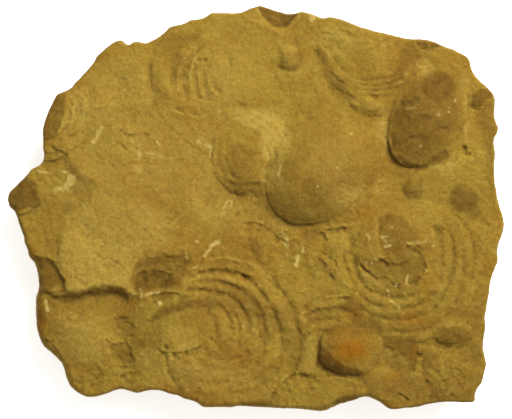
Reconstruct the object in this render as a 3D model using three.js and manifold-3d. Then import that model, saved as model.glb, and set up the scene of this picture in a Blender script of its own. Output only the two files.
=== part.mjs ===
// A slab of bedded limestone with the fossil shells of Posidonomya clarai lying in it, face up.
// The slab and its shells are one piece of stone. Sizes are in millimetres, +Z is up, and the
// origin is the middle of the flat underside. Places on the face are written as [across, down] in
// pixels of the photograph, which looks straight down on the slab, and place() turns them into
// millimetres. Angles are in degrees, anticlockwise as the photograph shows them.

import * as THREE from "three";
import { mergeVertices } from "three/addons/utils/BufferGeometryUtils.js";
import Module from "manifold-3d";

const wasm = await Module();
wasm.setup();

// Driving sizes
const SLAB_WIDTH = 150; // from the left tip to the bulge on the right
const BED_LEVEL = 19; // the bedding plane above the underside
const PHOTO_LEFT = 8;
const PHOTO_RIGHT = 504;
const PHOTO_TOP = 6;
const PHOTO_BOTTOM = 411;
const MM_PER_PIXEL = SLAB_WIDTH / (PHOTO_RIGHT - PHOTO_LEFT);

// The grid of the bedding plane, and how far solids reach past what they join or cut
const BED_CELL = 4.8;
const BED_MARGIN = 4;
const SHELL_FOOT = 6;
const CUT_TOP = 40;

// The slab's outline, clockwise from its left tip
const OUTLINE = [
  [8, 200], [9, 193], [14, 187], [22, 181], [30, 172], [41, 165], [44, 155], [43, 140], [42, 130],
  [44, 121], [49, 111], [57, 95], [64, 91], [72, 88], [80, 79], [88, 71], [98, 55], [105, 49],
  [112, 43], [120, 40.5], [128, 45], [134, 42], [147, 43], [160, 36], [170, 27], [185, 23],
  [191, 20], [200, 19], [212, 13], [238, 13], [245, 11], [252, 8], [260, 6], [270, 9], [289, 14],
  [301, 12], [308, 13], [322, 18], [330, 17], [340, 19], [358, 26], [378, 32], [400, 37],
  [412, 39], [427, 40], [443, 46], [460, 53], [468, 58], [472, 70], [481, 82], [492, 93],
  [495, 100], [494, 115], [498, 127], [494, 140], [494, 170], [497, 195], [503, 217], [504, 225],
  [502, 235], [497, 251], [498, 260], [492, 277], [489, 295], [485, 315], [485, 325], [483, 345],
  [485, 363], [481, 381], [475, 390], [473, 401], [450, 402], [428, 404], [408, 407], [392, 410],
  [380, 401], [363, 396], [345, 401], [328, 409], [318, 411], [290, 408], [250, 406], [204, 407],
  [187, 400], [175, 395], [162, 391], [150, 391], [138, 393], [120, 390], [100, 395], [90, 397],
  [75, 391], [66, 378], [60, 361], [45, 347], [38, 331], [36, 313], [36, 297], [39, 289],
  [39, 280], [35, 263], [28, 248], [21, 228], [14, 210],
];

// The broken edge: how far the stone lies inside the outline at each height, before it wanders
const EDGE_PROFILE = [
  { height: 0, inset: 3.6, wander: 1.4 },
  { height: 3.5, inset: 1.6, wander: 1.0 },
  { height: 8, inset: 1.1, wander: 0.9 },
  { height: 9.5, inset: 0.2, wander: 0.2 },
  { height: 14.5, inset: 0, wander: 0 },
  { height: 19, inset: 1.1, wander: 0.8 },
  { height: 30, inset: 11, wander: 1.5 },
];

// Broad swells and hollows of the bedding plane
const SWELLS = [
  { at: [110, 110], reach: 70, rise: 0.7 },
  { at: [115, 245], reach: 55, rise: 0.5 },
  { at: [345, 100], reach: 60, rise: 0.6 },
  { at: [300, 262], reach: 38, rise: -0.9 },
  { at: [400, 188], reach: 30, rise: -0.5 },
  { at: [480, 250], reach: 60, rise: -0.8 },
  { at: [455, 385], reach: 70, rise: -1.3 },
  { at: [235, 415], reach: 80, rise: -1.6 },
  { at: [50, 370], reach: 50, rise: -1.0 },
  { at: [14, 200], reach: 30, rise: -2.2 },
  { at: [250, 10], reach: 70, rise: -0.8 },
  { at: [480, 70], reach: 40, rise: -0.9 },
];

// Parts of beds that have split away. Each floor lies depth below the bedding plane, shallower
// towards fadeTo, and its sides slope in by run.
const LOST_BEDS = [
  {
    name: "lower left bed",
    depth: 3.4,
    fade: { from: 118, to: 172, leaves: 0.1 },
    run: [0, -2.2],
    corners: [
      [-10, 284], [39, 285], [46, 289], [56, 291], [66, 293], [76, 292], [90, 289], [106, 286],
      [120, 285], [128, 285], [133, 291], [150, 291], [172, 293], [184, 300], [172, 330],
      [160, 430], [-10, 430],
    ],
  },
  {
    name: "left shelf",
    depth: 1.3,
    run: [-0.6, -0.3],
    corners: [
      [-10, 151], [44, 152], [51, 156], [63, 155], [68, 163], [73, 171], [82, 178], [93, 183],
      [86, 196], [76, 206], [63, 217], [60, 238], [57, 257], [64, 279], [65, 294], [-10, 294],
    ],
  },
  {
    name: "left corner step",
    depth: 2.2,
    run: [-0.3, 0],
    corners: [[20, 257], [40, 257], [49, 260], [57, 268], [64, 281], [65, 294], [20, 294]],
  },
  {
    name: "middle step",
    depth: 1.5,
    run: [0, -0.3],
    corners: [
      [130, 284], [133, 275], [139, 264], [145, 258], [165, 257], [185, 255], [191, 262],
      [183, 275], [180, 296], [130, 296],
    ],
  },
];

// Chips and rough hollows that cut into shells as well as the bed
const CHIPS = [
  {
    name: "bottom chip",
    depth: 1.9,
    run: [0, -0.6],
    corners: [
      [272, 392], [284, 380], [291, 375], [303, 373], [326, 378], [345, 382], [358, 392],
      [362, 430], [272, 430],
    ],
  },
  {
    name: "rough hollow",
    depth: 4.3,
    run: [0.2, -0.2],
    corners: [
      [104, 332], [112, 319], [126, 316], [131, 330], [128, 342], [134, 360], [118, 368],
      [103, 371],
    ],
  },
  {
    name: "pit",
    depth: 1.4,
    run: [0, 0],
    corners: [[463, 146], [467, 145], [470, 149], [471, 154], [466, 154]],
  },
];

// The shells, the lowest first. outer is the middle of a shell's margin, half its half length and
// half width in millimetres, and its growth rings shrink towards umbo. The dome stands rim above
// the bed at the margin and crown more at the umbo. Each ring starts in a groove, at that share of
// the way from the umbo to the margin, and stands ridge above it, most clearly towards clearest.
// lift is the height above the bedding plane of what the shell lies on.
const SHELLS = [
  {
    name: "shell under the bottom right", umbo: [345, 368], outer: [345, 370], half: [22.1, 22.1],
    crown: 1.3, rim: 0.5, grooves: [0.56, 0.7, 0.84], ridge: 0.7,
    clearest: 120, spread: 50, segments: 32,
  },
  {
    name: "top left shell", umbo: [232, 82], outer: [228, 80], half: [22.7, 22.7],
    crown: 0.8, rim: 0.35, grooves: [0.45, 0.59, 0.71, 0.85], ridge: 0.65,
    clearest: 175, spread: 95, segments: 40,
  },
  {
    name: "left edge shell", umbo: [50, 118], outer: [48, 118], half: [12.4, 12.4],
    crown: 0.9, rim: 0.4, grooves: [0.55, 0.78], ridge: 0.4,
    clearest: 10, spread: 80, segments: 24,
  },
  {
    name: "lower left shell", umbo: [86, 330], outer: [84, 336], half: [14.2, 14.5],
    crown: 1.5, rim: 0.4, lift: -3.4, grooves: [0.8], ridge: 0.25,
    clearest: 270, spread: 60, segments: 24,
  },
  {
    name: "top right shell", umbo: [368, 50], outer: [367, 47], half: [15.1, 15.1],
    crown: 1.5, rim: 0.5, grooves: [0.66, 0.76, 0.87], ridge: 0.4,
    clearest: 270, spread: 90, segments: 30,
  },
  {
    name: "right shell", umbo: [382, 239], outer: [414, 270], half: [19.4, 20.6],
    crown: 1.6, rim: 0.5, grooves: [0.61, 0.77, 0.9], ridge: 0.65,
    clearest: 300, spread: 110, segments: 42,
  },
  {
    name: "large lower shell", umbo: [183, 328], outer: [220, 345], half: [24.5, 26.3],
    crown: 1.9, rim: 0.5, grooves: [0.4, 0.53, 0.66, 0.84], ridge: 0.85,
    clearest: 45, spread: 75, segments: 48,
  },
  {
    name: "middle shell", umbo: [243, 172], outer: [249, 151], half: [11.2, 13.6],
    crown: 1.9, rim: 0.35, grooves: [0.63, 0.8], ridge: 0.22,
    clearest: 90, spread: 80, segments: 28,
  },
  {
    name: "smooth domed shell", umbo: [303, 190], outer: [322, 173], half: [19.6, 15.6], turn: 42,
    crown: 5.2, rim: 0.8, grooves: [0.9], ridge: 0.15,
    clearest: 45, spread: 70, segments: 36,
  },
  {
    name: "dark domed shell", umbo: [415, 135], outer: [427, 117], half: [16, 10.6], turn: 64,
    crown: 3.2, rim: 1.7, grooves: [0.72], ridge: 0.5,
    clearest: 60, spread: 90, segments: 32,
  },
  {
    name: "rusty shell", umbo: [342, 353], outer: [350, 348], half: [9.6, 7.4], turn: 12,
    crown: 2.6, rim: 1.1, lift: 1.7, grooves: [], ridge: 0, clearest: 0, spread: 90, segments: 24,
  },
];

// Small shells and fragments, as low domes
const FRAGMENTS = [
  { name: "knob at the top", outer: [290, 54], half: [4.2, 4.7], crown: 1.5, rim: 0.6 },
  { name: "grain by the top right shell", outer: [371, 104], half: [6, 3], turn: -12, crown: 1.4, rim: 0.5 },
  { name: "lower right shell", outer: [449, 333], half: [6.0, 4.0], turn: -12, crown: 1.8, rim: 0.6 },
  { name: "brown patch on the right", outer: [468, 202], half: [5.4, 4.8], crown: 1.1, rim: 0.3 },
  { name: "small patch on the right", outer: [414, 188], half: [3.6, 3.6], turn: 45, crown: 0.8, rim: 0.4 },
  { name: "fragment in the hollow", outer: [264, 246], half: [5.4, 4.6], turn: -30, crown: 0.9, rim: 0.3 },
  { name: "brown tip on the left", outer: [22, 194], half: [7.4, 4.6], turn: 25, crown: 0.9, rim: 0.6 },
];
const FRAGMENT_SEGMENTS = 12;

const MIDDLE = [(PHOTO_LEFT + PHOTO_RIGHT) / 2, (PHOTO_TOP + PHOTO_BOTTOM) / 2];
const NOWHERE = new THREE.Vector2();

// A place on the photograph, in millimetres from the slab's middle
function place([across, down]) {
  return new THREE.Vector2((across - MIDDLE[0]) * MM_PER_PIXEL, (MIDDLE[1] - down) * MM_PER_PIXEL);
}

// Height of the bedding plane
function bedHeight(x, y) {
  let height = BED_LEVEL + 0.22 * Math.sin(x / 7.3 + 0.8) * Math.cos(y / 6.1);
  height += 0.14 * Math.sin((x + y) / 3.9);
  for (const { at, reach, rise } of SWELLS) {
    const away = place(at).distanceTo(new THREE.Vector2(x, y)) / (reach * MM_PER_PIXEL);
    height += rise * Math.exp(-away * away);
  }
  return height;
}

// How far the broken edge wanders at an angle and a height, from -1 to 1
function wandering(angle, height) {
  return 0.6 * Math.sin(9 * angle + height * 0.35) + 0.4 * Math.sin(23 * angle - height * 0.6 + 1.1);
}

// A geometry as a solid, with each of its points moved
function solidOf(geometry, move) {
  geometry.deleteAttribute("normal");
  geometry.deleteAttribute("uv");
  const merged = mergeVertices(geometry, 1e-4);
  const points = merged.getAttribute("position");
  const point = new THREE.Vector3();
  for (let i = 0; i < points.count; i++) {
    move(point.fromBufferAttribute(points, i));
    points.setXYZ(i, point.x, point.y, point.z);
  }
  return new wasm.Manifold(
    new wasm.Mesh({
      numProp: 3,
      vertProperties: new Float32Array(points.array),
      triVerts: new Uint32Array(merged.index.array),
    }),
  );
}

// A block whose top is the bedding plane
function beddedBlock() {
  const width = SLAB_WIDTH + 2 * BED_MARGIN;
  const length = (PHOTO_BOTTOM - PHOTO_TOP) * MM_PER_PIXEL + 2 * BED_MARGIN;
  const box = new THREE.BoxGeometry(
    width, length, BED_LEVEL, Math.round(width / BED_CELL), Math.round(length / BED_CELL), 1,
  );
  return solidOf(box, (p) => {
    p.z = p.z > 0 ? bedHeight(p.x, p.y) : -BED_MARGIN;
  });
}

// The slab's outline carried up through the heights of its broken edge
function brokenEdge() {
  const steps = EDGE_PROFILE.length - 1;
  const walls = new THREE.ExtrudeGeometry(new THREE.Shape(OUTLINE.map(place)), {
    depth: steps, steps, bevelEnabled: false,
  });
  return solidOf(walls, (p) => {
    const { height, inset, wander } = EDGE_PROFILE[Math.round(p.z)];
    const lost = Math.max(0, inset + wander * wandering(Math.atan2(p.y, p.x), height));
    const share = 1 - lost / Math.hypot(p.x, p.y);
    p.set(p.x * share, p.y * share, height);
  });
}

// What has split away: a prism down to a floor that follows the bedding plane
function lostPiece({ depth, run, corners, fade }) {
  const prism = new THREE.ExtrudeGeometry(new THREE.Shape(corners.map(place)), {
    depth: 1, bevelEnabled: false,
  });
  return solidOf(prism, (p) => {
    if (p.z > 0.5) {
      p.z = CUT_TOP;
      return;
    }
    let share = 1;
    if (fade) {
      const across = p.x / MM_PER_PIXEL + MIDDLE[0];
      share = THREE.MathUtils.mapLinear(across, fade.from, fade.to, 1, fade.leaves);
      share = THREE.MathUtils.clamp(share, fade.leaves, 1);
    }
    p.z = bedHeight(p.x, p.y) - depth * share;
    p.x += run[0];
    p.y += run[1];
  });
}

// How far a shell's growth strays from a true oval, as a share of its radius
function unevenness(angle, phase) {
  return 0.022 * Math.sin(3 * angle + phase) + 0.012 * Math.sin(7 * angle - 2 * phase);
}

// How clearly a shell's rings stand out at an angle, from 0.15 to 1
function clarity({ clearest, spread }, degrees) {
  const away = (((degrees - clearest + 540) % 360) - 180) / spread;
  return 0.15 + 0.85 * Math.exp(-away * away);
}

// A shell: a lathe of rings, each laid on the bed round its own middle between umbo and margin
function shellSolid(shell) {
  const { grooves, ridge, crown, rim, segments, turn = 0, lift = 0 } = shell;
  const umbo = place(shell.umbo);
  const outer = place(shell.outer);
  const starts = [...grooves, 1];
  const rings = (starts[0] < 0.6 ? [0.25] : [0.35, 0.65]).map((t) => [t * starts[0], 0]);
  starts.forEach((start, i) => {
    rings.push([start, 0]);
    if (i < grooves.length) rings.push([(start * 2 + starts[i + 1] * 3) / 5, ridge]);
  });
  const reliefAt = new Map(rings.map(([t, relief]) => [t.toFixed(4), relief]));
  const profile = [0, ...rings.map(([t]) => t)].map((t) => new THREE.Vector2(t, 1));
  profile.push(new THREE.Vector2(1, 0), new THREE.Vector2(0, 0));
  profile.reverse();
  return solidOf(new THREE.LatheGeometry(profile, segments), (p) => {
    const t = Math.hypot(p.x, p.z);
    const top = p.y > 0.5;
    const angle = Math.atan2(-p.z, p.x);
    const reach = t * (1 + unevenness(angle, umbo.x));
    const along = new THREE.Vector2(shell.half[0] * Math.cos(angle), shell.half[1] * Math.sin(angle));
    along.multiplyScalar(reach).rotateAround(NOWHERE, THREE.MathUtils.degToRad(turn));
    const degrees = THREE.MathUtils.radToDeg(Math.atan2(along.y, along.x));
    const spot = umbo.clone().lerp(outer, t).add(along);
    const relief = (reliefAt.get(t.toFixed(4)) ?? 0) * clarity(shell, degrees);
    const dome = rim + crown * (1 - t * t) + relief;
    const bed = bedHeight(spot.x, spot.y) + lift;
    p.set(spot.x, spot.y, top ? bed + dome : bed - SHELL_FOOT);
  });
}

// A small shell has its umbo in its middle and no rings
function fragmentSolid(fragment) {
  return shellSolid({
    ...fragment, umbo: fragment.outer, grooves: [], ridge: 0, clearest: 0, spread: 90,
    segments: FRAGMENT_SEGMENTS,
  });
}

// The whole slab, as one solid
function slabSolid() {
  let stone = beddedBlock();
  for (const bed of LOST_BEDS) stone = stone.subtract(lostPiece(bed));
  for (const shell of SHELLS) stone = stone.add(shellSolid(shell));
  for (const fragment of FRAGMENTS) stone = stone.add(fragmentSolid(fragment));
  for (const chip of CHIPS) stone = stone.subtract(lostPiece(chip));
  return stone.intersect(brokenEdge());
}

// A solid as a geometry that three.js can draw
function geometryOf(solid) {
  const { vertProperties, triVerts } = solid.getMesh();
  const geometry = new THREE.BufferGeometry();
  geometry.setAttribute("position", new THREE.BufferAttribute(vertProperties, 3));
  geometry.setIndex(new THREE.BufferAttribute(triVerts, 1));
  geometry.computeVertexNormals();
  return geometry;
}

const stoneFinish = new THREE.MeshStandardMaterial({
  color: 0xa6833c, roughness: 0.92, metalness: 0, flatShading: true,
});

const slab = new THREE.Mesh(geometryOf(slabSolid()), stoneFinish);
slab.name = "fossil_slab";

const fossil = new THREE.Group();
fossil.add(slab);

export default fossil;
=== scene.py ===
"""A slab of ochre limestone with fossil shells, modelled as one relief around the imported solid.

The face is worked out as a height in millimetres at every point of a fine grid: the bedding plane,
the beds that have split away, the shells with their growth rings, and the small damage. A mesh is
then laid over it, with its points close together where the relief is fine. Places on the face are
(across, down) in pixels of the 512 x 419 photograph, and angles are in degrees, anticlockwise as
the photograph shows them.
"""

import math

import bpy
import numpy as np
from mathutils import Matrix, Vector
from mathutils.geometry import delaunay_2d_cdt


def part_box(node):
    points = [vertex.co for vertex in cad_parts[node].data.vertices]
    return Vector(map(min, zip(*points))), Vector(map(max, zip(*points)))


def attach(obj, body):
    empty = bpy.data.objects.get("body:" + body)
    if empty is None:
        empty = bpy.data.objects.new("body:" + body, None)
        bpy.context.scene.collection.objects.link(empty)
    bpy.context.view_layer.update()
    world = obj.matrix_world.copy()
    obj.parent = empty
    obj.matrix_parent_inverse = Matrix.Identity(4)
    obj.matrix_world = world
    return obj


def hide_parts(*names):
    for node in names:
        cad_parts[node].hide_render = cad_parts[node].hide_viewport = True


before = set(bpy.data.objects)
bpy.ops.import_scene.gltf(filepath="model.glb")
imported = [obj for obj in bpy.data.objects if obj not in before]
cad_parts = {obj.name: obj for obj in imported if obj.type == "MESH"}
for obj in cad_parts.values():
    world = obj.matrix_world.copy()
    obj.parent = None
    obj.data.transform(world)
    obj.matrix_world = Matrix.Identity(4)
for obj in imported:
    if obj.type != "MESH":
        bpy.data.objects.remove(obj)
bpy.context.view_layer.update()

bl_info = {
    "name": "Fossil Slab",
    "version": (1, 0, 0),
    "blender": (4, 5, 0),
    "location": "View3D > Sidebar > Fossil",
    "description": "Builds a limestone slab with fossil shells on a studio floor",
    "category": "Add Mesh",
}

MM = 0.001
SLAB_LOW, SLAB_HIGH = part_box("fossil_slab")
PHOTO_SIZE = (512, 419)
PHOTO_LEFT, PHOTO_RIGHT = 8, 504
PHOTO_TOP, PHOTO_BOTTOM = 6, 411
MM_PER_PIXEL = (SLAB_HIGH[0] - SLAB_LOW[0]) / MM / (PHOTO_RIGHT - PHOTO_LEFT)
MIDDLE = np.array([(PHOTO_LEFT + PHOTO_RIGHT) / 2, (PHOTO_TOP + PHOTO_BOTTOM) / 2])

# The lens and the sensor's width in millimetres, and how high they put the camera above the face
LENS, SENSOR = 200, 36
CAMERA_HEIGHT = PHOTO_SIZE[0] * MM_PER_PIXEL * LENS / SENSOR

# Which way the light comes from, as the photograph shows it, and how far off the lamp stands in metres
LIGHT_FROM = (0.63, 0.78)
LAMP_AWAY = 0.61

# The slab's outline, clockwise from the middle of its top edge
OUTLINE = [
    (260, 6), (270, 9), (280, 12), (289, 14), (295, 13), (301, 12), (308, 13), (315, 15), (322, 18),
    (330, 17), (340, 19), (350, 23), (358, 26), (368, 29), (378, 32), (388, 34), (400, 37), (412, 39),
    (420, 39), (427, 40), (435, 42), (443, 46), (452, 49), (460, 53), (468, 58), (470, 63), (472, 70),
    (476, 77), (481, 82), (488, 88), (492, 93), (495, 100), (494, 115), (496, 122), (498, 127),
    (497, 133), (494, 140), (495, 155), (494, 170), (495, 182), (497, 195), (500, 208), (503, 217),
    (504, 225), (502, 235), (499, 243), (497, 251), (498, 260), (495, 268), (492, 277), (490, 285),
    (489, 293), (487, 305), (485, 317), (485, 330), (483, 345), (484, 353), (486, 364), (484, 373),
    (482, 382), (477, 389), (475, 395), (473, 402), (455, 402), (443, 402), (428, 404), (417, 407),
    (405, 408), (391, 409), (385, 406), (380, 402), (374, 399), (368, 397), (362, 397), (357, 399),
    (350, 401), (340, 404), (333, 407), (327, 410), (320, 411), (311, 410), (300, 409), (280, 408),
    (258, 407), (243, 406), (230, 407), (215, 407), (204, 407), (199, 404), (190, 400), (183, 398),
    (177, 395), (171, 394), (163, 391), (155, 390), (145, 391), (137, 393), (130, 391), (122, 389),
    (116, 390), (108, 393), (99, 396), (91, 397), (84, 396), (76, 391), (70, 385), (66, 376), (64, 368),
    (60, 361), (52, 353), (44, 346), (40, 338), (37, 328), (36, 318), (36, 307), (36, 298), (38, 292),
    (39, 285), (38, 274), (35, 264), (29, 256), (28, 250), (25, 243), (24, 237), (21, 229), (18, 220),
    (15, 212), (12, 209), (9, 205), (8, 198), (10, 192), (15, 187), (21, 181), (26, 176), (31, 170),
    (36, 167), (41, 164), (44, 158), (43, 145), (43, 137), (43, 128), (46, 118), (50, 108), (53, 102),
    (57, 95), (65, 91), (71, 88), (76, 82), (80, 78), (85, 73), (91, 66), (95, 60), (97, 56), (100, 53),
    (105, 49), (111, 44), (117, 41), (121, 40), (125, 43), (129, 45), (134, 42), (140, 42), (147, 43),
    (153, 40), (160, 36), (166, 31), (170, 27), (178, 25), (185, 23), (191, 20), (200, 19), (207, 16),
    (212, 13), (225, 13), (238, 13), (245, 11), (252, 8),
]

# How far the rounding of the top edge reaches in, and how far it falls, in millimetres. Round some
# places it reaches further: a place, its reach in pixels, and how much wider and deeper it is there
EDGE_WIDTH, EDGE_FALL = 0.8, 2.0
WIDER_EDGES = [
    ((38, 320), 40, 1.7, 2.8),
    ((32, 262), 26, 1.7, 2.0),
    ((70, 385), 40, 1.2, 1.6),
    ((250, 407), 70, 1.2, 1.6),
    ((330, 408), 24, 1.0, 1.2),
    ((372, 400), 20, 1.0, 1.4),
    ((12, 205), 14, 1.6, 1.2),
    ((485, 350), 40, 0.8, 1.0),
]

# The bedding plane's height in millimetres, and its broad swells and hollows: a place, a reach in
# pixels and a rise in millimetres
BED_LEVEL = 19
SWELLS = [
    ((110, 110), 70, 0.7),
    ((115, 245), 55, 0.5),
    ((345, 100), 60, 0.6),
    ((300, 262), 38, -0.9),
    ((400, 188), 30, -0.5),
    ((480, 250), 60, -0.8),
    ((455, 385), 70, -1.3),
    ((235, 415), 80, -0.9),
    ((50, 370), 50, -1.0),
    ((14, 200), 30, -2.2),
    ((250, 10), 70, -0.8),
    ((480, 70), 40, -0.9),
]

# Where beds have split away: the depth of the floor and half the width of the broken step, both in
# millimetres. With fade, the depth falls to nothing between two distances across the photograph
LOST_BEDS = [
    # Lower left bed
    {
        "depth": 2.9, "step": 1.6, "fade": (118, 160),
        "corners": [
            (-10, 291), (39, 291), (45, 292), (57, 295), (66, 297), (76, 296), (86, 293), (96, 291),
            (106, 290), (117, 290), (125, 293), (130, 298), (150, 300), (172, 304), (184, 308),
            (172, 330), (160, 430), (-10, 430),
        ],
    },
    # Left shelf
    {
        "depth": 0.8, "step": 1.8,
        "corners": [
            (-10, 151), (44, 152), (51, 156), (63, 155), (68, 163), (73, 171), (82, 178), (93, 183),
            (88, 196), (76, 206), (63, 217), (60, 238), (57, 257), (64, 279), (65, 294), (-10, 294),
        ],
    },
    # Left corner step
    {
        "depth": 0.9, "step": 0.6,
        "corners": [(20, 257), (40, 257), (49, 260), (57, 268), (64, 281), (65, 294), (20, 294)],
    },
    # Middle step
    {
        "depth": 0.6, "step": 1.8,
        "corners": [
            (130, 286), (134, 270), (145, 259), (187, 256), (193, 264), (184, 280), (178, 300),
            (132, 300),
        ],
    },
    # Top notch
    {
        "depth": 0.9, "step": 0.8,
        "corners": [
            (256, -5), (260, 12), (268, 21), (276, 27), (286, 27), (293, 19), (300, 8), (300, -5),
        ],
    },
]

# Chips that cut into the shells as well as the bed, in the same way
CHIPS = [
    # Bottom chip
    {
        "depth": 0.6, "step": 2.2,
        "corners": [
            (262, 404), (272, 395), (282, 385), (291, 375), (303, 374), (320, 378), (345, 379),
            (358, 388), (364, 430), (262, 430),
        ],
    },
    # Broken middle of the right shell
    {
        "depth": 0.4, "step": 1.2,
        "corners": [
            (362, 264), (380, 257), (403, 246), (419, 247), (427, 270), (415, 290), (392, 292),
            (370, 286),
        ],
    },
    # Rough hollow
    {
        "depth": 0.3, "step": 1.6,
        "corners": [(108, 334), (116, 320), (126, 316), (132, 330), (130, 345), (133, 360), (118, 366)],
    },
]

# The shells, the lowest first. outer is the middle of a shell's margin and half its half length and
# half width in millimetres. Its rings shrink towards umbo. It stands rim above what it lies on at
# the margin, and crown more at the umbo. A groove is at its share of the way from umbo to margin.
# rings and margin say how clear the rings and the margin are: (degrees, from 0 to 1), and between
# those directions in between. Where the margin isn't clear, the bed covers it. reach widens the shell
# by a share in some directions, lift raises it, and sinks lowers it by so much at the left of two
# distances across. smooth takes away the stone's grain, and round makes the crown fuller.
SHELLS = [
    # Shell under the bottom right
    {
        "umbo": (345, 368), "outer": (345, 370),
        "half": (22.1, 22.1), "crown": 1.3, "rim": 0.3, "grooves": (0.55, 0.69, 0.83), "ridge": 0.2,
        "rings": [(60, 0), (85, 0.8), (115, 1), (140, 0.9), (165, 0)],
        "margin": [(60, 0), (85, 0.8), (115, 1), (140, 0.7), (160, 0)],
    },
    # Top left shell
    {
        "umbo": (232, 82), "outer": (228, 80), "half": (22.7, 22.7),
        "crown": 0.9, "rim": 0.2, "smooth": 0.5, "grooves": (0.35, 0.45, 0.56, 0.66, 0.76, 0.86, 0.94),
        "ridge": 0.08,
        "rings": [
            (0, 0), (60, 0.1), (100, 0.5), (130, 0.8), (170, 1), (220, 0.7), (250, 0.3), (280, 0.05),
        ],
        "margin": [(60, 0), (90, 0.2), (130, 0.6), (170, 0.7), (220, 0.5), (250, 0.2), (290, 0)],
    },
    # Left edge shell
    {
        "umbo": (50, 118), "outer": (48, 118), "half": (12.4, 12.4),
        "crown": 0.9, "rim": 0.25, "grooves": (0.5, 0.65, 0.8), "ridge": 0.16,
        "rings": [(0, 1), (60, 0.7), (120, 0), (250, 0), (300, 0.4)],
        "margin": [(20, 0.7), (80, 0.4), (150, 0), (250, 0), (300, 0.4)],
    },
    # Lower left shell
    {
        "umbo": (86, 330), "outer": (84, 336), "half": (14.2, 14.5),
        "crown": 2.3, "rim": 0.1, "lift": -2.8, "grooves": (0.8, 0.9), "ridge": 0.1,
        "rings": [(180, 0), (230, 0.7), (270, 1), (310, 0.5), (350, 0)],
        "margin": [(0, 0.1), (90, 0.1), (180, 0.1), (270, 0.3)],
    },
    # Top right shell
    {
        "umbo": (368, 50), "outer": (367, 47), "half": (15.1, 15.1),
        "crown": 1.5, "rim": 0.35, "grooves": (0.66, 0.76, 0.87), "ridge": 0.12,
        "rings": [(0, 0.1), (180, 0.1), (200, 0.5), (240, 0.9), (270, 1), (300, 1), (330, 0.5)],
        "margin": [(10, 0), (180, 0.2), (190, 0.7), (230, 1), (280, 0.3), (320, 0.4), (350, 0.2)],
    },
    # Right shell
    {
        "umbo": (382, 239), "outer": (414, 270), "half": (19.4, 20.6),
        "crown": 1.7, "rim": 0.4, "smooth": 0.35, "grooves": (0.61, 0.68, 0.76, 0.85, 0.94), "ridge": 0.1,
        "rings": [(0, 1), (45, 0.8), (80, 0.3), (120, 0), (200, 0.2), (225, 0.9), (260, 1), (330, 0.9)],
        "margin": [
            (0, 0.5), (45, 0.3), (90, 0.1), (120, 0.1), (180, 0.3), (215, 0.9), (250, 0.9), (300, 0.6),
        ],
    },
    # Large lower shell
    {
        "umbo": (183, 328), "outer": (220, 345), "half": (24.5, 26.3),
        "sinks": (2.9, 118, 178),
        "crown": 2.2, "rim": 0.4, "grooves": (0.4, 0.53, 0.66, 0.75, 0.84, 0.93), "ridge": 0.16,
        "rings": [
            (0, 0.8), (30, 1), (60, 1), (100, 0.9), (130, 0.5), (160, 0.2), (200, 0.1), (300, 0.1),
            (330, 0.5),
        ],
        "margin": [
            (0, 0.5), (20, 0.7), (45, 0.9), (70, 0.4), (90, 0.1), (150, 0.1), (200, 0), (300, 0),
            (330, 0.2),
        ],
    },
    # Middle shell
    {
        "umbo": (243, 172), "outer": (249, 151), "half": (11.2, 13.6),
        "crown": 1.7, "rim": 0.3, "smooth": 0.5, "grooves": (0.63, 0.72, 0.79, 0.87, 0.95), "ridge": 0.08,
        "rings": [(0, 0.6), (90, 1), (180, 0.6), (270, 0.8)],
        "margin": [(0, 0.4), (90, 0.8), (180, 0.5), (225, 0.6), (270, 0.4), (315, 0)],
    },
    # Smooth domed shell
    {
        "umbo": (305, 184), "outer": (322, 168), "half": (19.6, 14.2),
        "turn": 42, "crown": 4.8, "rim": 0.7, "smooth": 0.75, "grooves": (0.8, 0.9), "ridge": 0.05,
        "rings": [(0, 1), (90, 1), (180, 0.3), (270, 0.3)],
        "margin": [
            (0, 0), (120, 0.05), (150, 0.3), (180, 0.8), (210, 1), (265, 1), (285, 0.5), (305, 0.15),
            (330, 0),
        ],
    },
    # Dark domed shell
    {
        "umbo": (418, 128), "outer": (427, 117), "half": (16, 10.6),
        "turn": 64, "crown": 2.4, "round": 2.5, "rim": 1.2, "smooth": 0.5,
        "grooves": (0.72,), "ridge": 0.15,
        "rings": [(0, 1), (180, 0.5)],
        "margin": [
            (20, 0.1), (60, 0.05), (100, 0.1), (140, 0.15), (170, 0.5), (205, 0.9), (250, 1),
            (280, 0.6), (310, 0.2),
        ],
    },
    # Rusty shell
    {
        "umbo": (345, 350), "outer": (350, 348), "half": (9.8, 7.6),
        "turn": 12, "lift": 1.3, "crown": 2.2, "round": 2.5, "rim": 1.0, "smooth": 0.4,
        "grooves": (), "ridge": 0,
        "reach": [
            (12, 0), (60, -0.12), (90, -0.16), (130, -0.04), (155, -0.01), (180, -0.07), (204, 0),
            (222, 0), (236, -0.07), (262, 0), (296, 0.16), (320, 0.05), (340, 0),
        ],
        "rings": [(0, 0)],
        "margin": [
            (0, 0.1), (60, 0.1), (100, 0.2), (140, 0.6), (180, 1), (240, 1), (280, 0.8), (310, 0.6),
        ],
    },
]

# Small shells and fragments, as low domes: a place, half the length and width in millimetres, a turn,
# how far the middle stands above the rim, and how far the rim stands above the bed
FRAGMENTS = [
    ((288, 56), (3.9, 4.3), 0, 1.5, 0.1),  # knob at the top
    ((368, 106), (5.2, 2.9), -14, 1.1, 0.25),  # grain by the top right shell
    ((451, 331), (6.2, 4.5), -6, 1.1, 0),  # lower right shell
    ((466, 203), (5.2, 5.0), 0, 0.8, -0.1),  # patch on the right
    ((414, 188), (3.4, 3.6), 45, 0.7, -0.1),  # small patch on the right
    ((480, 98), (3.4, 3.0), 40, 0.6, 0),  # patch near the right edge
    ((262, 246), (5.4, 4.6), -30, 0.6, -0.1),  # fragment in the hollow
    ((338, 244), (4.6, 4.0), 0, 0.6, -0.1),  # fragment by the right shell
    ((22, 190), (9, 6.5), 35, 0.9, -0.3),  # tip on the left
]

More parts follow.
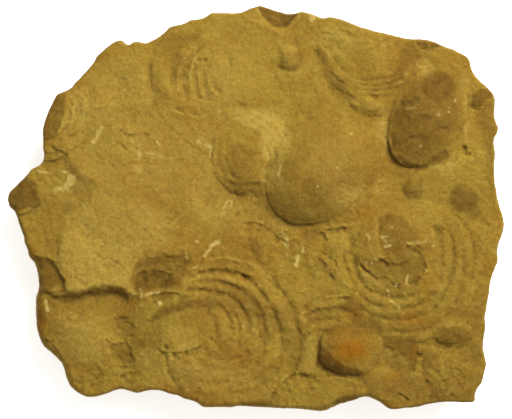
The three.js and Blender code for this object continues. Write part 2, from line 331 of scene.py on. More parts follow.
# A line is moved towards the light by a share of its width, so that its shaded or lit wall comes onto
# its route: the share for grooves and ridges, and for rings
LINE_SHIFT = 0.5
RING_SHIFT = 0.7

# The raised lip of a broken edge: its height as a share of the drop, and its width in millimetres
LIP_HEIGHT = 0.3
LIP_WIDTH = 0.8

# How high a shell's rim stands where the bed covers its margin, how steeply a shell falls outside its
# margin, and how high the fine lines of growth stand
COVERED_RIM = -0.5
MARGIN_STEEPNESS = 2.5
GROWTH_LINES = 0.07

# Growth rings and folds of the shells, as rounded cords with a valley along each route: half the
# width of a cord and the valley's depth in millimetres, and the route
RINGS = [
    # Large lower shell
    (1.1, 1.2, [
        (258, 270), (266, 274), (278, 284), (287, 295), (294, 308), (298, 321), (301, 336), (301, 353),
        (297, 367), (289, 381),
    ]),
    (1.1, 1.35, [
        (178, 276), (192, 274), (203, 272), (216, 270), (227, 271), (240, 274), (252, 280), (260, 287),
        (268, 297), (275, 309), (280, 322), (283, 336), (283, 350), (279, 365),
    ]),
    (1.0, 1.49, [
        (190, 281), (202, 279), (212, 279), (225, 281), (238, 286), (248, 293), (256, 301), (262, 311),
        (266, 323), (267, 340),
    ]),
    (1.0, 1.4, [
        (176, 292), (184, 289), (193, 288), (210, 289), (223, 291), (233, 296), (241, 303), (247, 313),
        (250, 325), (250, 342),
    ]),
    (0.8, 1.04, [
        (174, 300), (188, 296), (203, 295), (213, 298), (221, 304), (228, 312), (233, 323), (235, 338),
    ]),
    (0.7, 0.78, [(226, 300), (233, 309), (239, 321), (241, 333), (239, 348)]),
    (0.7, 0.65, [(262, 300), (270, 314), (274, 327), (275, 340), (272, 355)]),
    (0.6, 0.65, [(254, 306), (259, 318), (261, 331), (259, 345)]),
    (0.8, 0.59, [(205, 308), (212, 315), (217, 324), (218, 336), (214, 348)]),
    (1.1, 0.45, [(196, 360), (218, 367), (240, 367), (258, 360), (272, 347)]),
    (1.2, 0.45, [(192, 374), (216, 383), (242, 383), (264, 375), (282, 360)]),
    (0.9, 0.39, [(202, 352), (222, 358), (240, 356), (254, 347)]),
    (0.7, 0.65, [(166, 352), (168, 362), (172, 374), (178, 384), (186, 394)]),
    (1.2, 0.6, [(286, 352), (281, 366), (271, 379), (256, 388), (240, 391), (222, 389)]),
    (1.0, 0.5, [(267, 340), (264, 354), (256, 366), (244, 373), (230, 375)]),
    # Between the large shell and the rusty one
    (0.8, 0.96, [(302, 311), (312, 304), (322, 300), (334, 298), (346, 297), (356, 298)]),
    (0.8, 0.96, [(302, 320), (312, 312), (322, 309), (334, 308), (345, 309), (354, 312), (362, 320)]),
    (0.7, 0.56, [(302, 328), (312, 321), (323, 318), (334, 318), (344, 322)]),
    (0.7, 0.72, [(300, 340), (308, 333), (316, 330), (326, 330), (336, 334)]),
    # Right shell
    (1.1, 1.3, [
        (353, 252), (356, 266), (361, 277), (369, 287), (380, 292), (390, 295), (402, 296), (413, 294),
        (424, 286),
    ]),
    (1.2, 0.85, [
        (354, 282), (362, 293), (372, 301), (384, 305), (397, 307), (410, 306), (422, 303), (434, 295),
        (441, 284),
    ]),
    (1.2, 1.15, [
        (352, 292), (358, 301), (367, 309), (377, 314), (390, 317), (404, 318), (416, 316), (428, 311),
        (440, 302), (448, 290), (452, 277), (455, 262), (455, 248), (453, 236), (448, 224), (440, 214),
    ]),
    (1.1, 0.95, [(440, 286), (443, 272), (444, 257), (443, 243), (440, 232), (434, 222)]),
    (1.3, 0.65, [
        (374, 321), (390, 328), (404, 330), (420, 329), (434, 323), (446, 314), (456, 302), (462, 289),
        (465, 274), (466, 260), (465, 246), (461, 234),
    ]),
    (1.1, 0.9, [(472, 287), (475, 271), (476, 256), (475, 243), (471, 231), (463, 219)]),
    (1.0, 0.45, [(483, 280), (486, 263), (485, 246)]),
    (1.0, 0.75, [(352, 233), (353, 245), (355, 257), (359, 268)]),
    (0.8, 0.52, [(344, 250), (347, 264), (352, 276), (358, 288)]),
    # Top left shell
    (1.3, 0.6, [
        (205, 29), (199, 33), (192, 39), (184, 45), (178, 54), (175, 62), (174, 72), (174, 80),
        (175, 88),
    ]),
    (1.0, 0.7, [
        (210, 40), (204, 44), (199, 49), (193, 54), (189, 60), (187, 66), (185, 72), (185, 80),
        (186, 88), (188, 95), (192, 103),
    ]),
    (0.9, 0.6, [(201, 60), (197, 66), (195, 74), (196, 83), (199, 92), (203, 101)]),
    (0.8, 0.5, [(208, 67), (205, 76), (206, 84), (208, 93), (212, 103)]),
    (0.6, 0.4, [(214, 80), (217, 87), (222, 92)]),
    (0.7, 0.4, [(224, 50), (228, 57), (231, 63), (231, 69)]),
    (1.3, 0.5, [(152, 58), (151, 68), (152, 76), (155, 87), (160, 96), (166, 103)]),
    # Middle shell
    (0.5, 0.3, [(222, 143), (227, 136), (234, 130), (243, 128), (252, 129), (260, 134), (266, 141)]),
    (0.5, 0.35, [(217, 138), (224, 129), (233, 123), (244, 121), (255, 123), (264, 129), (271, 138)]),
    (0.5, 0.35, [(213, 133), (221, 123), (232, 117), (244, 115), (257, 117), (268, 123), (276, 132)]),
    (0.5, 0.3, [(210, 127), (219, 117), (231, 111), (244, 109), (258, 110), (270, 116), (279, 124)]),
    (0.6, 0.4, [(268, 138), (274, 146), (277, 156), (275, 166)]),
    (0.6, 0.4, [(223, 136), (219, 147), (219, 158), (222, 168), (229, 178)]),
    (0.5, 0.28, [(214, 134), (212, 148), (213, 160), (218, 172)]),
    (0.7, 0.5, [
        (231, 142), (227, 154), (229, 168), (235, 176), (245, 179), (255, 176), (261, 168), (262, 157),
        (259, 147),
    ]),
    (0.5, 0.48, [(266, 141), (270, 152), (270, 162), (265, 172)]),
    # Top right shell
    (0.45, 0.4, [(354, 77), (366, 80), (378, 79), (392, 76), (403, 71)]),
    (0.45, 0.48, [(356, 83), (370, 85), (383, 84), (396, 81), (407, 76)]),
    (0.45, 0.45, [(360, 88), (374, 90), (388, 89), (402, 85)]),
    (0.45, 0.4, [(366, 93), (380, 96), (396, 93)]),
    (1.0, 0.4, [(395, 38), (402, 50), (403, 62), (398, 76)]),
    (0.9, 0.4, [(383, 36), (390, 48), (391, 60), (386, 72)]),
    (0.9, 0.4, [(328, 42), (334, 56), (342, 66), (353, 73)]),
    (0.9, 0.32, [(341, 36), (345, 50), (352, 60), (364, 67)]),
    # Left edge shell, and the lower left one
    (0.8, 0.3, [(61, 97), (68, 106), (70, 116), (68, 127), (60, 137)]),
    (0.8, 0.3, [(67, 93), (76, 104), (79, 116), (76, 129), (67, 141)]),
    (0.8, 0.25, [(75, 90), (84, 103), (87, 116), (84, 130), (75, 143)]),
    (1.2, 0.4, [(66, 370), (76, 379), (88, 381), (99, 376), (106, 366)]),
    (1.0, 0.35, [(72, 364), (82, 371), (92, 370), (101, 363)]),
    (1.1, 0.35, [(66, 380), (77, 388), (90, 390), (104, 384)]),
    (1.2, 0.45, [(99, 338), (104, 352), (103, 367)]),
]

# Lines that cut into the face: their width and depth in millimetres, and their route
GROOVES = [
    # Round the large lower shell, under the rusty one, and the foot of the ledge on the left
    (0.5, 0.6, [(195, 273), (207, 271), (220, 270), (232, 272), (243, 275), (253, 280)]),
    (0.3, 0.35, [(204, 258), (200, 264), (197, 269)]),
    (0.9, 0.5, [(362, 377), (364, 383), (363, 389)]),
    (0.35, 0.4, [(159, 294), (166, 293), (173, 293), (180, 294)]),
    # Left edge and shelf
    (0.5, 0.4, [(49, 144), (56, 149), (64, 153), (66, 161)]),
    (0.5, 0.35, [(42, 149), (46, 153), (52, 153), (60, 151)]),
    (0.45, 0.13, [(35, 171), (37, 176), (42, 178), (47, 176), (50, 172)]),
    (0.45, 0.13, [(31, 174), (35, 179), (42, 182), (49, 180), (54, 175)]),
    (0.45, 0.1, [(32, 182), (40, 186), (48, 185)]),
    (0.53, 0.22, [(48, 188), (51, 186), (54, 183)]),
    (0.5, 0.25, [(49, 143), (58, 141), (69, 137), (79, 133)]),
    (0.45, 0.17, [(62, 219), (62, 230), (60, 238), (58, 246), (57, 258)]),
    (0.6, 0.26, [(49, 259), (54, 263), (58, 269), (62, 277), (65, 284)]),
    (0.53, 0.22, [(40, 278), (44, 286), (48, 291)]),
    (0.53, 0.22, [(44, 292), (52, 296), (58, 300), (64, 304)]),
    (0.75, 0.13, [(94, 250), (99, 257), (104, 263)]),
    (0.75, 0.1, [(86, 263), (92, 267), (98, 268)]),
    (0.75, 0.08, [(97, 206), (102, 212), (106, 219)]),
    (0.53, 0.1, [(126, 213), (131, 219), (134, 225)]),
    (0.75, 0.08, [(84, 226), (88, 233), (86, 240)]),
    # Ground on the upper left
    (0.45, 0.15, [(103, 125), (107, 126), (112, 125)]),
    (0.6, 0.1, [(111, 75), (118, 77), (122, 78), (128, 82)]),
    (0.75, 0.1, [(101, 86), (104, 92), (110, 96)]),
    (0.75, 0.1, [(101, 108), (106, 113), (111, 120)]),
    (0.53, 0.13, [(79, 123), (81, 117), (81, 111), (85, 108)]),
    (0.6, 0.15, [(112, 163), (120, 167), (126, 164), (132, 160)]),
    (0.45, 0.17, [(119, 140), (124, 147), (130, 151)]),
    (0.45, 0.2, [(131, 143), (136, 148), (140, 150)]),
    (0.45, 0.2, [(153, 136), (155, 142), (157, 147)]),
    (0.45, 0.08, [(168, 112), (180, 118), (192, 121), (204, 123)]),
    (0.45, 0.08, [(166, 120), (178, 125), (190, 128)]),
    (0.45, 0.08, [(176, 134), (188, 137), (198, 138)]),
    (0.53, 0.13, [(203, 110), (208, 116), (215, 121)]),
    # Lower left
    (0.53, 0.22, [(60, 312), (64, 309), (69, 306)]),
    (0.38, 0.17, [(95, 297), (96, 301), (95, 305)]),
    (0.53, 0.26, [(112, 319), (119, 318), (124, 317), (130, 316)]),
    (0.6, 0.22, [(112, 329), (118, 333), (123, 338), (127, 344)]),
    (0.53, 0.17, [(130, 303), (131, 315), (133, 326), (131, 338)]),
    (0.6, 0.22, [(116, 355), (124, 360), (132, 361)]),
    (0.53, 0.15, [(108, 364), (118, 366), (128, 366)]),
    (0.53, 0.13, [(104, 345), (112, 348), (120, 352)]),
    (0.53, 0.15, [(139, 369), (144, 374), (148, 379)]),
    (0.53, 0.13, [(65, 384), (74, 382), (84, 383), (93, 380), (102, 379)]),
    (0.53, 0.1, [(72, 390), (82, 388), (92, 386)]),
    (0.6, 0.13, [(137, 314), (142, 321), (146, 329), (148, 337)]),
    (0.53, 0.15, [(150, 317), (158, 318), (165, 316)]),
    (0.75, 0.26, [(158, 348), (164, 350), (168, 344)]),
    (0.53, 0.13, [(166, 368), (171, 377), (176, 386), (183, 394)]),
    (0.53, 0.1, [(150, 372), (157, 378), (162, 386)]),
    (0.53, 0.08, [(190, 368), (197, 374), (203, 383)]),
    (0.75, 0.13, [(212, 384), (222, 381), (231, 382)]),
    (0.75, 0.13, [(196, 389), (203, 392), (212, 392)]),
    # Inner ledge of the large lower shell
    (0.53, 0.17, [(207, 338), (211, 339), (216, 342)]),
    (0.53, 0.22, [(289, 301), (295, 306), (300, 309), (307, 310)]),
    # Bottom edge
    (0.6, 0.39, [(288, 377), (292, 374), (298, 373), (303, 374), (310, 376), (318, 378)]),
    (0.38, 0.1, [(316, 377), (325, 376), (333, 375), (342, 374)]),
    (0.38, 0.2, [(311, 380), (311, 386), (312, 392)]),
    (0.6, 0.1, [(303, 380), (305, 388), (306, 397)]),
    (0.53, 0.13, [(332, 384), (338, 390), (341, 396)]),
    # Right shell and its broken middle
    (0.53, 0.3, [(380, 259), (385, 263), (388, 268)]),
    (0.53, 0.26, [(411, 243), (418, 246), (425, 251)]),
    (0.53, 0.15, [(366, 311), (371, 320), (377, 328), (385, 335)]),
    (0.53, 0.17, [(417, 337), (417, 347), (415, 357), (411, 366)]),
    (0.75, 0.22, [(425, 331), (429, 329), (433, 329)]),
    (0.6, 0.13, [(432, 208), (440, 209), (446, 210)]),
    # Between the domed shell and the right shell
    (0.53, 0.35, [(321, 231), (325, 236), (328, 241)]),
    (0.6, 0.22, [(327, 234), (336, 230), (344, 228), (351, 229), (356, 232)]),
    (0.68, 0.17, [(353, 252), (356, 262), (360, 273)]),
    (0.53, 0.15, [(343, 258), (347, 268), (352, 279), (358, 289)]),
    (0.53, 0.13, [(338, 268), (341, 280), (346, 292)]),
    (0.35, 0.35, [(360, 262), (362, 267), (366, 271), (371, 272)]),
    (0.35, 0.3, [(382, 260), (389, 264), (394, 270), (391, 277)]),
    (0.6, 0.2, [(408, 245), (415, 250), (421, 257), (425, 264), (427, 271)]),
    (0.5, 0.3, [(408, 284), (413, 286), (418, 284)]),
    # Rough ground in the middle
    (0.75, 0.22, [(248, 237), (251, 247), (255, 254), (261, 261)]),
    (0.75, 0.26, [(290, 245), (293, 255), (291, 265)]),
    (0.6, 0.13, [(262, 262), (268, 268), (276, 272)]),
    (0.6, 0.13, [(196, 258), (200, 263), (206, 268)]),
    (0.6, 0.13, [(222, 228), (219, 236), (212, 240)]),
    (0.6, 0.35, [(235, 213), (240, 214)]),
    (0.53, 0.13, [(218, 210), (221, 213)]),
    (0.45, 0.15, [(183, 250), (180, 256), (172, 258)]),
    # Round the domed shell
    (0.75, 0.26, [
        (263, 198), (266, 207), (270, 213), (277, 219), (286, 223), (296, 225), (306, 224), (322, 227),
    ]),
    (0.9, 0.1, [(369, 166), (371, 178), (369, 190), (364, 202)]),
    (0.53, 0.13, [(297, 149), (301, 149)]),
    # Middle shell
    (0.6, 0.26, [(227, 178), (232, 183), (239, 185), (248, 184), (257, 184), (263, 181)]),
    (0.6, 0.3, [(233, 191), (240, 195), (247, 194)]),
    (0.6, 0.3, [(249, 190), (255, 194), (261, 199)]),
    (0.6, 0.13, [(258, 172), (263, 175), (267, 173)]),
    # Top left shell
    (0.6, 0.43, [(197, 58), (201, 60)]),
    (0.53, 0.35, [(203, 60), (208, 59)]),
    (0.6, 0.15, [(203, 64), (208, 68)]),
    (1.05, 0.15, [(228, 48), (231, 58), (230, 69)]),
    (1.2, 0.13, [(240, 40), (247, 46), (250, 54)]),
    (0.6, 0.1, [(214, 84), (218, 90), (222, 92)]),
    (0.6, 0.13, [(248, 91), (254, 92)]),
    (0.7, 0.22, [(221, 106), (228, 105), (235, 104), (243, 105), (250, 106)]),
    # Top edge and knob
    (0.6, 0.22, [(270, 25), (279, 27), (287, 28)]),
    (0.6, 0.35, [(277, 64), (282, 69), (289, 70), (300, 69)]),
    (0.9, 0.15, [(271, 38), (276, 44), (273, 50)]),
    (0.9, 0.15, [(268, 60), (273, 64), (274, 70)]),
    (0.75, 0.15, [(270, 89), (278, 88), (286, 90)]),
    (0.75, 0.13, [(272, 100), (277, 105), (282, 107)]),
    (0.6, 0.13, [(256, 12), (259, 18)]),
    # Top right shell
    (1.65, 0.2, [(313, 48), (319, 56), (324, 65), (331, 74)]),
    (0.6, 0.3, [(329, 72), (334, 75), (339, 79)]),
    (0.53, 0.26, [(335, 79), (340, 81), (345, 83)]),
    (0.53, 0.22, [(336, 84), (341, 86), (345, 88)]),
    (0.53, 0.13, [(418, 63), (426, 64)]),
    (0.9, 0.15, [(414, 46), (417, 54), (411, 64)]),
    (0.6, 0.15, [(328, 125), (336, 126)]),
    (0.68, 0.13, [(360, 130), (366, 136), (370, 142)]),
    (0.6, 0.15, [(346, 91), (352, 97), (356, 100)]),
    # Dark domed shell
    (1.3, 0.2, [(389, 112), (388, 126), (389, 141), (391, 154)]),
    (0.6, 0.4, [(400, 99), (404, 104), (409, 103), (414, 99), (420, 98)]),
    (0.5, 0.35, [(434, 120), (437, 124), (441, 128), (446, 128), (452, 136)]),
    (0.5, 0.3, [(392, 136), (393, 146), (397, 153)]),
    (0.45, 0.25, [(408, 139), (416, 138), (424, 140)]),
    (0.75, 0.39, [(402, 164), (414, 166), (421, 168), (431, 165)]),
    (0.53, 0.13, [(405, 118), (409, 124), (408, 131)]),
    # Right edge
    (0.75, 0.57, [(466, 144), (464, 149), (469, 153), (473, 152)]),
    (1.05, 0.15, [(481, 121), (484, 128), (488, 133)]),
    (0.75, 0.22, [(470, 100), (474, 106), (481, 108)]),
    (0.6, 0.2, [(403, 186), (405, 192), (410, 200)]),
    (0.53, 0.17, [(414, 197), (419, 198), (424, 196)]),
    (0.75, 0.13, [(451, 202), (456, 207), (462, 210)]),
    (0.9, 0.22, [(381, 211), (381, 220), (385, 227)]),
    (0.53, 0.15, [(398, 217), (404, 223), (411, 230)]),
    (0.75, 0.13, [(453, 171), (458, 174)]),
    (0.53, 0.17, [(474, 308), (483, 310)]),
    (0.53, 0.15, [(473, 314), (483, 315)]),
    (0.45, 0.13, [(453, 301), (462, 302), (471, 301)]),
    (0.75, 0.26, [(478, 336), (484, 337)]),
    # Lower right
    (0.3, 0.4, [(398, 393), (403, 396), (408, 400)]),
    (0.9, 0.3, [(434, 342), (442, 344), (451, 345), (460, 345)]),
    (0.9, 0.26, [(419, 352), (424, 359), (423, 366), (427, 372)]),
    (0.53, 0.15, [(426, 364), (433, 368), (440, 374)]),
    (0.6, 0.17, [(423, 377), (430, 385), (437, 393)]),
    (0.53, 0.15, [(436, 371), (443, 379), (449, 388)]),
    (0.53, 0.15, [(451, 373), (458, 382), (464, 391)]),
    (0.53, 0.13, [(463, 366), (468, 376), (472, 384)]),
    (0.53, 0.13, [(443, 361), (452, 362), (463, 363)]),
    (1.05, 0.35, [(430, 394), (437, 399), (440, 402)]),
    (0.75, 0.26, [(450, 393), (457, 397), (466, 399)]),
    (0.53, 0.13, [(400, 378), (404, 373), (411, 371)]),
    (0.53, 0.13, [(386, 346), (393, 352), (396, 360)]),
]

# Lines that stand up from the face, in the same way
RIDGES = [
    # Large lower shell
    (1.03, 0.2, [(176, 286), (190, 278), (205, 275), (220, 275), (234, 278), (246, 284), (257, 293)]),
    (0.57, 0.2, [(163, 355), (167, 363), (171, 371)]),
    # Right shell
    (0.34, 0.32, [(345, 229), (351, 231), (357, 234)]),
    (0.57, 0.24, [(322, 230), (333, 227), (345, 225), (354, 224), (366, 221)]),
    # Left edge shell
    (0.6, 0.25, [(68, 98), (66, 112), (62, 127), (52, 139)]),
    (0.6, 0.25, [(75, 96), (74, 112), (70, 127), (58, 140)]),
    (0.6, 0.2, [(84, 97), (84, 112), (78, 127), (66, 138)]),
    # Top left shell
    (0.55, 0.3, [
        (192, 48), (188, 53), (184, 60), (180, 69), (178, 76), (178, 84), (180, 92), (183, 99),
    ]),
    (0.55, 0.3, [
        (211, 46), (205, 50), (199, 54), (194, 60), (191, 69), (190, 78), (191, 87), (193, 95),
    ]),
    (0.5, 0.22, [(200, 70), (199, 80), (201, 91), (203, 98)]),
    (0.5, 0.22, [(208, 78), (209, 84), (212, 90), (220, 96)]),
    # By the knob, and at the left of the large lower shell
    (0.7, 0.3, [(284, 38), (278, 46), (277, 56)]),
    (0.6, 0.25, [(161, 356), (165, 370), (171, 383)]),
    # Shelf, ledge and left edge
    (1.61, 0.36, [(64, 287), (76, 287), (88, 284), (100, 281), (114, 280), (129, 283)]),
    (0.57, 0.24, [(46, 256), (52, 257), (58, 262)]),
    (0.57, 0.32, [(23, 222), (25, 228)]),
    (0.8, 0.24, [(44, 300), (46, 306), (47, 312)]),
    (0.69, 0.24, [(98, 362), (101, 369), (104, 375)]),
    # Top
    (0.92, 0.28, [(238, 11), (250, 18), (262, 23), (272, 28), (281, 32), (287, 38)]),
    (0.69, 0.24, [(276, 72), (283, 78), (285, 88)]),
    (0.69, 0.24, [(117, 43), (123, 43), (127, 46)]),
    (0.57, 0.28, [(352, 100), (355, 104), (360, 106)]),
    # Middle shell
    (1.15, 0.4, [(264, 176), (267, 186), (262, 195)]),
    # Right edge
    (1.15, 0.28, [(462, 74), (467, 90), (467, 110), (466, 130), (465, 145)]),
    (0.92, 0.28, [(384, 118), (387, 132), (386, 147)]),
    (0.5, 0.3, [(408, 121), (415, 113), (427, 114), (434, 119)]),
    (0.5, 0.3, [(398, 155), (410, 157), (419, 153)]),
    (0.5, 0.25, [(402, 109), (412, 107), (424, 108)]),
    (0.46, 0.28, [(417, 66), (425, 67), (433, 65)]),
    (0.46, 0.24, [(416, 74), (424, 75), (430, 73)]),
    (0.46, 0.24, [(466, 142), (472, 141)]),
    (0.57, 0.32, [(424, 373), (429, 371), (434, 373)]),
    (0.69, 0.24, [(420, 342), (419, 350)]),
    (0.57, 0.32, [(446, 392), (451, 396)]),
]

# Broken edges: how far the ground to the right of the route falls, how far that lasts, and the route
LEDGES = [
    (0.35, 2.5, [(410, 275), (419, 275), (428, 272), (427, 260), (421, 249), (409, 245)]),
    (0.25, 3.0, [(400, 254), (391, 257), (380, 254), (378, 238), (379, 220), (388, 214), (398, 214)]),
    (0.3, 4.0, [(118, 384), (120, 376), (130, 372), (142, 374), (145, 384)]),
    (0.35, 4.0, [(362, 398), (364, 388), (352, 380), (336, 377), (318, 378), (303, 374)]),
    (0.5, 1.5, [(378, 259), (384, 261), (389, 266), (393, 273)]),
    (0.5, 1.5, [(391, 262), (397, 265), (403, 262), (409, 261)]),
    (0.4, 1.5, [(405, 244), (412, 247), (420, 246)]),
    (0.5, 1.5, [(427, 270), (421, 276), (416, 284), (408, 285), (402, 283)]),
    (0.4, 1.8, [(360, 263), (366, 270), (372, 273), (380, 281)]),
    (0.35, 2.0, [(383, 274), (388, 279), (394, 284), (402, 284)]),
    (0.4, 2.0, [(317, 257), (324, 262), (330, 271), (336, 281)]),
    (0.4, 2.0, [(321, 229), (334, 228), (346, 228), (355, 233)]),
    (0.35, 1.5, [(323, 231), (325, 236), (328, 240)]),
    (0.35, 2.0, [(396, 392), (403, 396), (411, 400)]),
    (0.4, 1.5, [(358, 378), (361, 385), (366, 392)]),
    (0.3, 2.0, [(118, 343), (127, 345), (132, 354), (136, 364)]),
    (0.3, 2.0, [(108, 364), (116, 367), (126, 367), (136, 365)]),
    (0.3, 2.0, [(114, 319), (121, 317), (127, 318)]),
    (0.3, 3.0, [(210, 112), (198, 116), (186, 114), (172, 109)]),
    (0.3, 2.5, [(417, 352), (424, 358), (424, 368), (430, 374)]),
    (0.35, 2.0, [(434, 344), (444, 347), (456, 347), (464, 345)]),
    (0.3, 2.0, [(426, 379), (434, 386), (440, 394)]),
    (0.3, 2.0, [(455, 366), (462, 372), (470, 382)]),
    (0.6, 3.5, [(156, 349), (168, 352), (180, 352), (190, 350), (199, 346), (208, 341)]),
    (0.15, 6.0, [(131, 284), (133, 273), (138, 263), (146, 258), (158, 257), (172, 257), (188, 254)]),
    (0.4, 4.0, [(133, 275), (141, 272), (153, 270), (165, 272), (174, 277)]),
    (0.45, 3.0, [(148, 297), (160, 294), (172, 293), (182, 294)]),
    (0.45, 5.0, [
        (262, 404), (272, 394), (279, 386), (286, 379), (292, 375), (300, 373), (309, 376), (320, 379),
    ]),
    (0.45, 3.0, [(411, 374), (415, 360), (417, 348), (418, 337)]),
    (0.52, 2.0, [(442, 47), (430, 49), (419, 49), (414, 41)]),
    (0.3, 4.0, [(96, 262), (106, 258), (118, 262), (126, 270)]),
    (0.3, 4.0, [(180, 214), (170, 224), (160, 226), (150, 222)]),
    (0.26, 3.5, [(118, 128), (130, 134), (140, 132), (152, 136)]),
    (0.3, 3.0, [(240, 224), (252, 222), (264, 226), (272, 232)]),
    (0.3, 3.0, [(212, 262), (224, 258), (236, 262), (246, 268)]),
    (0.3, 2.5, [(104, 338), (112, 344), (122, 346)]),
    (0.38, 3.0, [(30, 340), (44, 338), (56, 350), (66, 366)]),
    (0.3, 3.0, [(60, 100), (66, 110), (62, 124), (54, 134)]),
    (0.22, 3.0, [(318, 30), (330, 34), (344, 30), (356, 36)]),
    (0.3, 3.0, [(430, 228), (438, 224), (446, 230)]),
    (0.3, 2.5, [(316, 250), (326, 254), (336, 262), (340, 274)]),
    (0.3, 2.5, [(274, 236), (284, 240), (290, 248)]),
]

# Small pits: a place, a radius and a depth in millimetres
PITS = [
    ((466, 149), 0.9, 0.7),
    ((425, 375), 0.9, 0.4),
    ((212, 339), 0.6, 0.4),
    ((166, 347), 0.9, 0.6),
    ((200, 60), 0.5, 0.4),
    ((204, 60), 0.6, 0.4),
    ((208, 68), 0.6, 0.3),
]

# Broken, hackly ground: a place, a reach in pixels and how rough it is
ROUGH_GROUND = [
    ((392, 277), 24, 0.4),
    ((326, 262), 20, 0.35),
    ((120, 342), 26, 0.35),
    ((142, 300), 16, 0.5),
    ((55, 180), 24, 0.3),
    ((445, 382), 34, 0.4),
    ((285, 250), 28, 0.5),
    ((400, 355), 20, 0.4),
    ((160, 270), 26, 0.25),
    ((416, 140), 24, 0.6),
    ((432, 118), 16, 0.3),
    ((190, 385), 26, 0.4),
    ((480, 240), 22, 0.3),
]

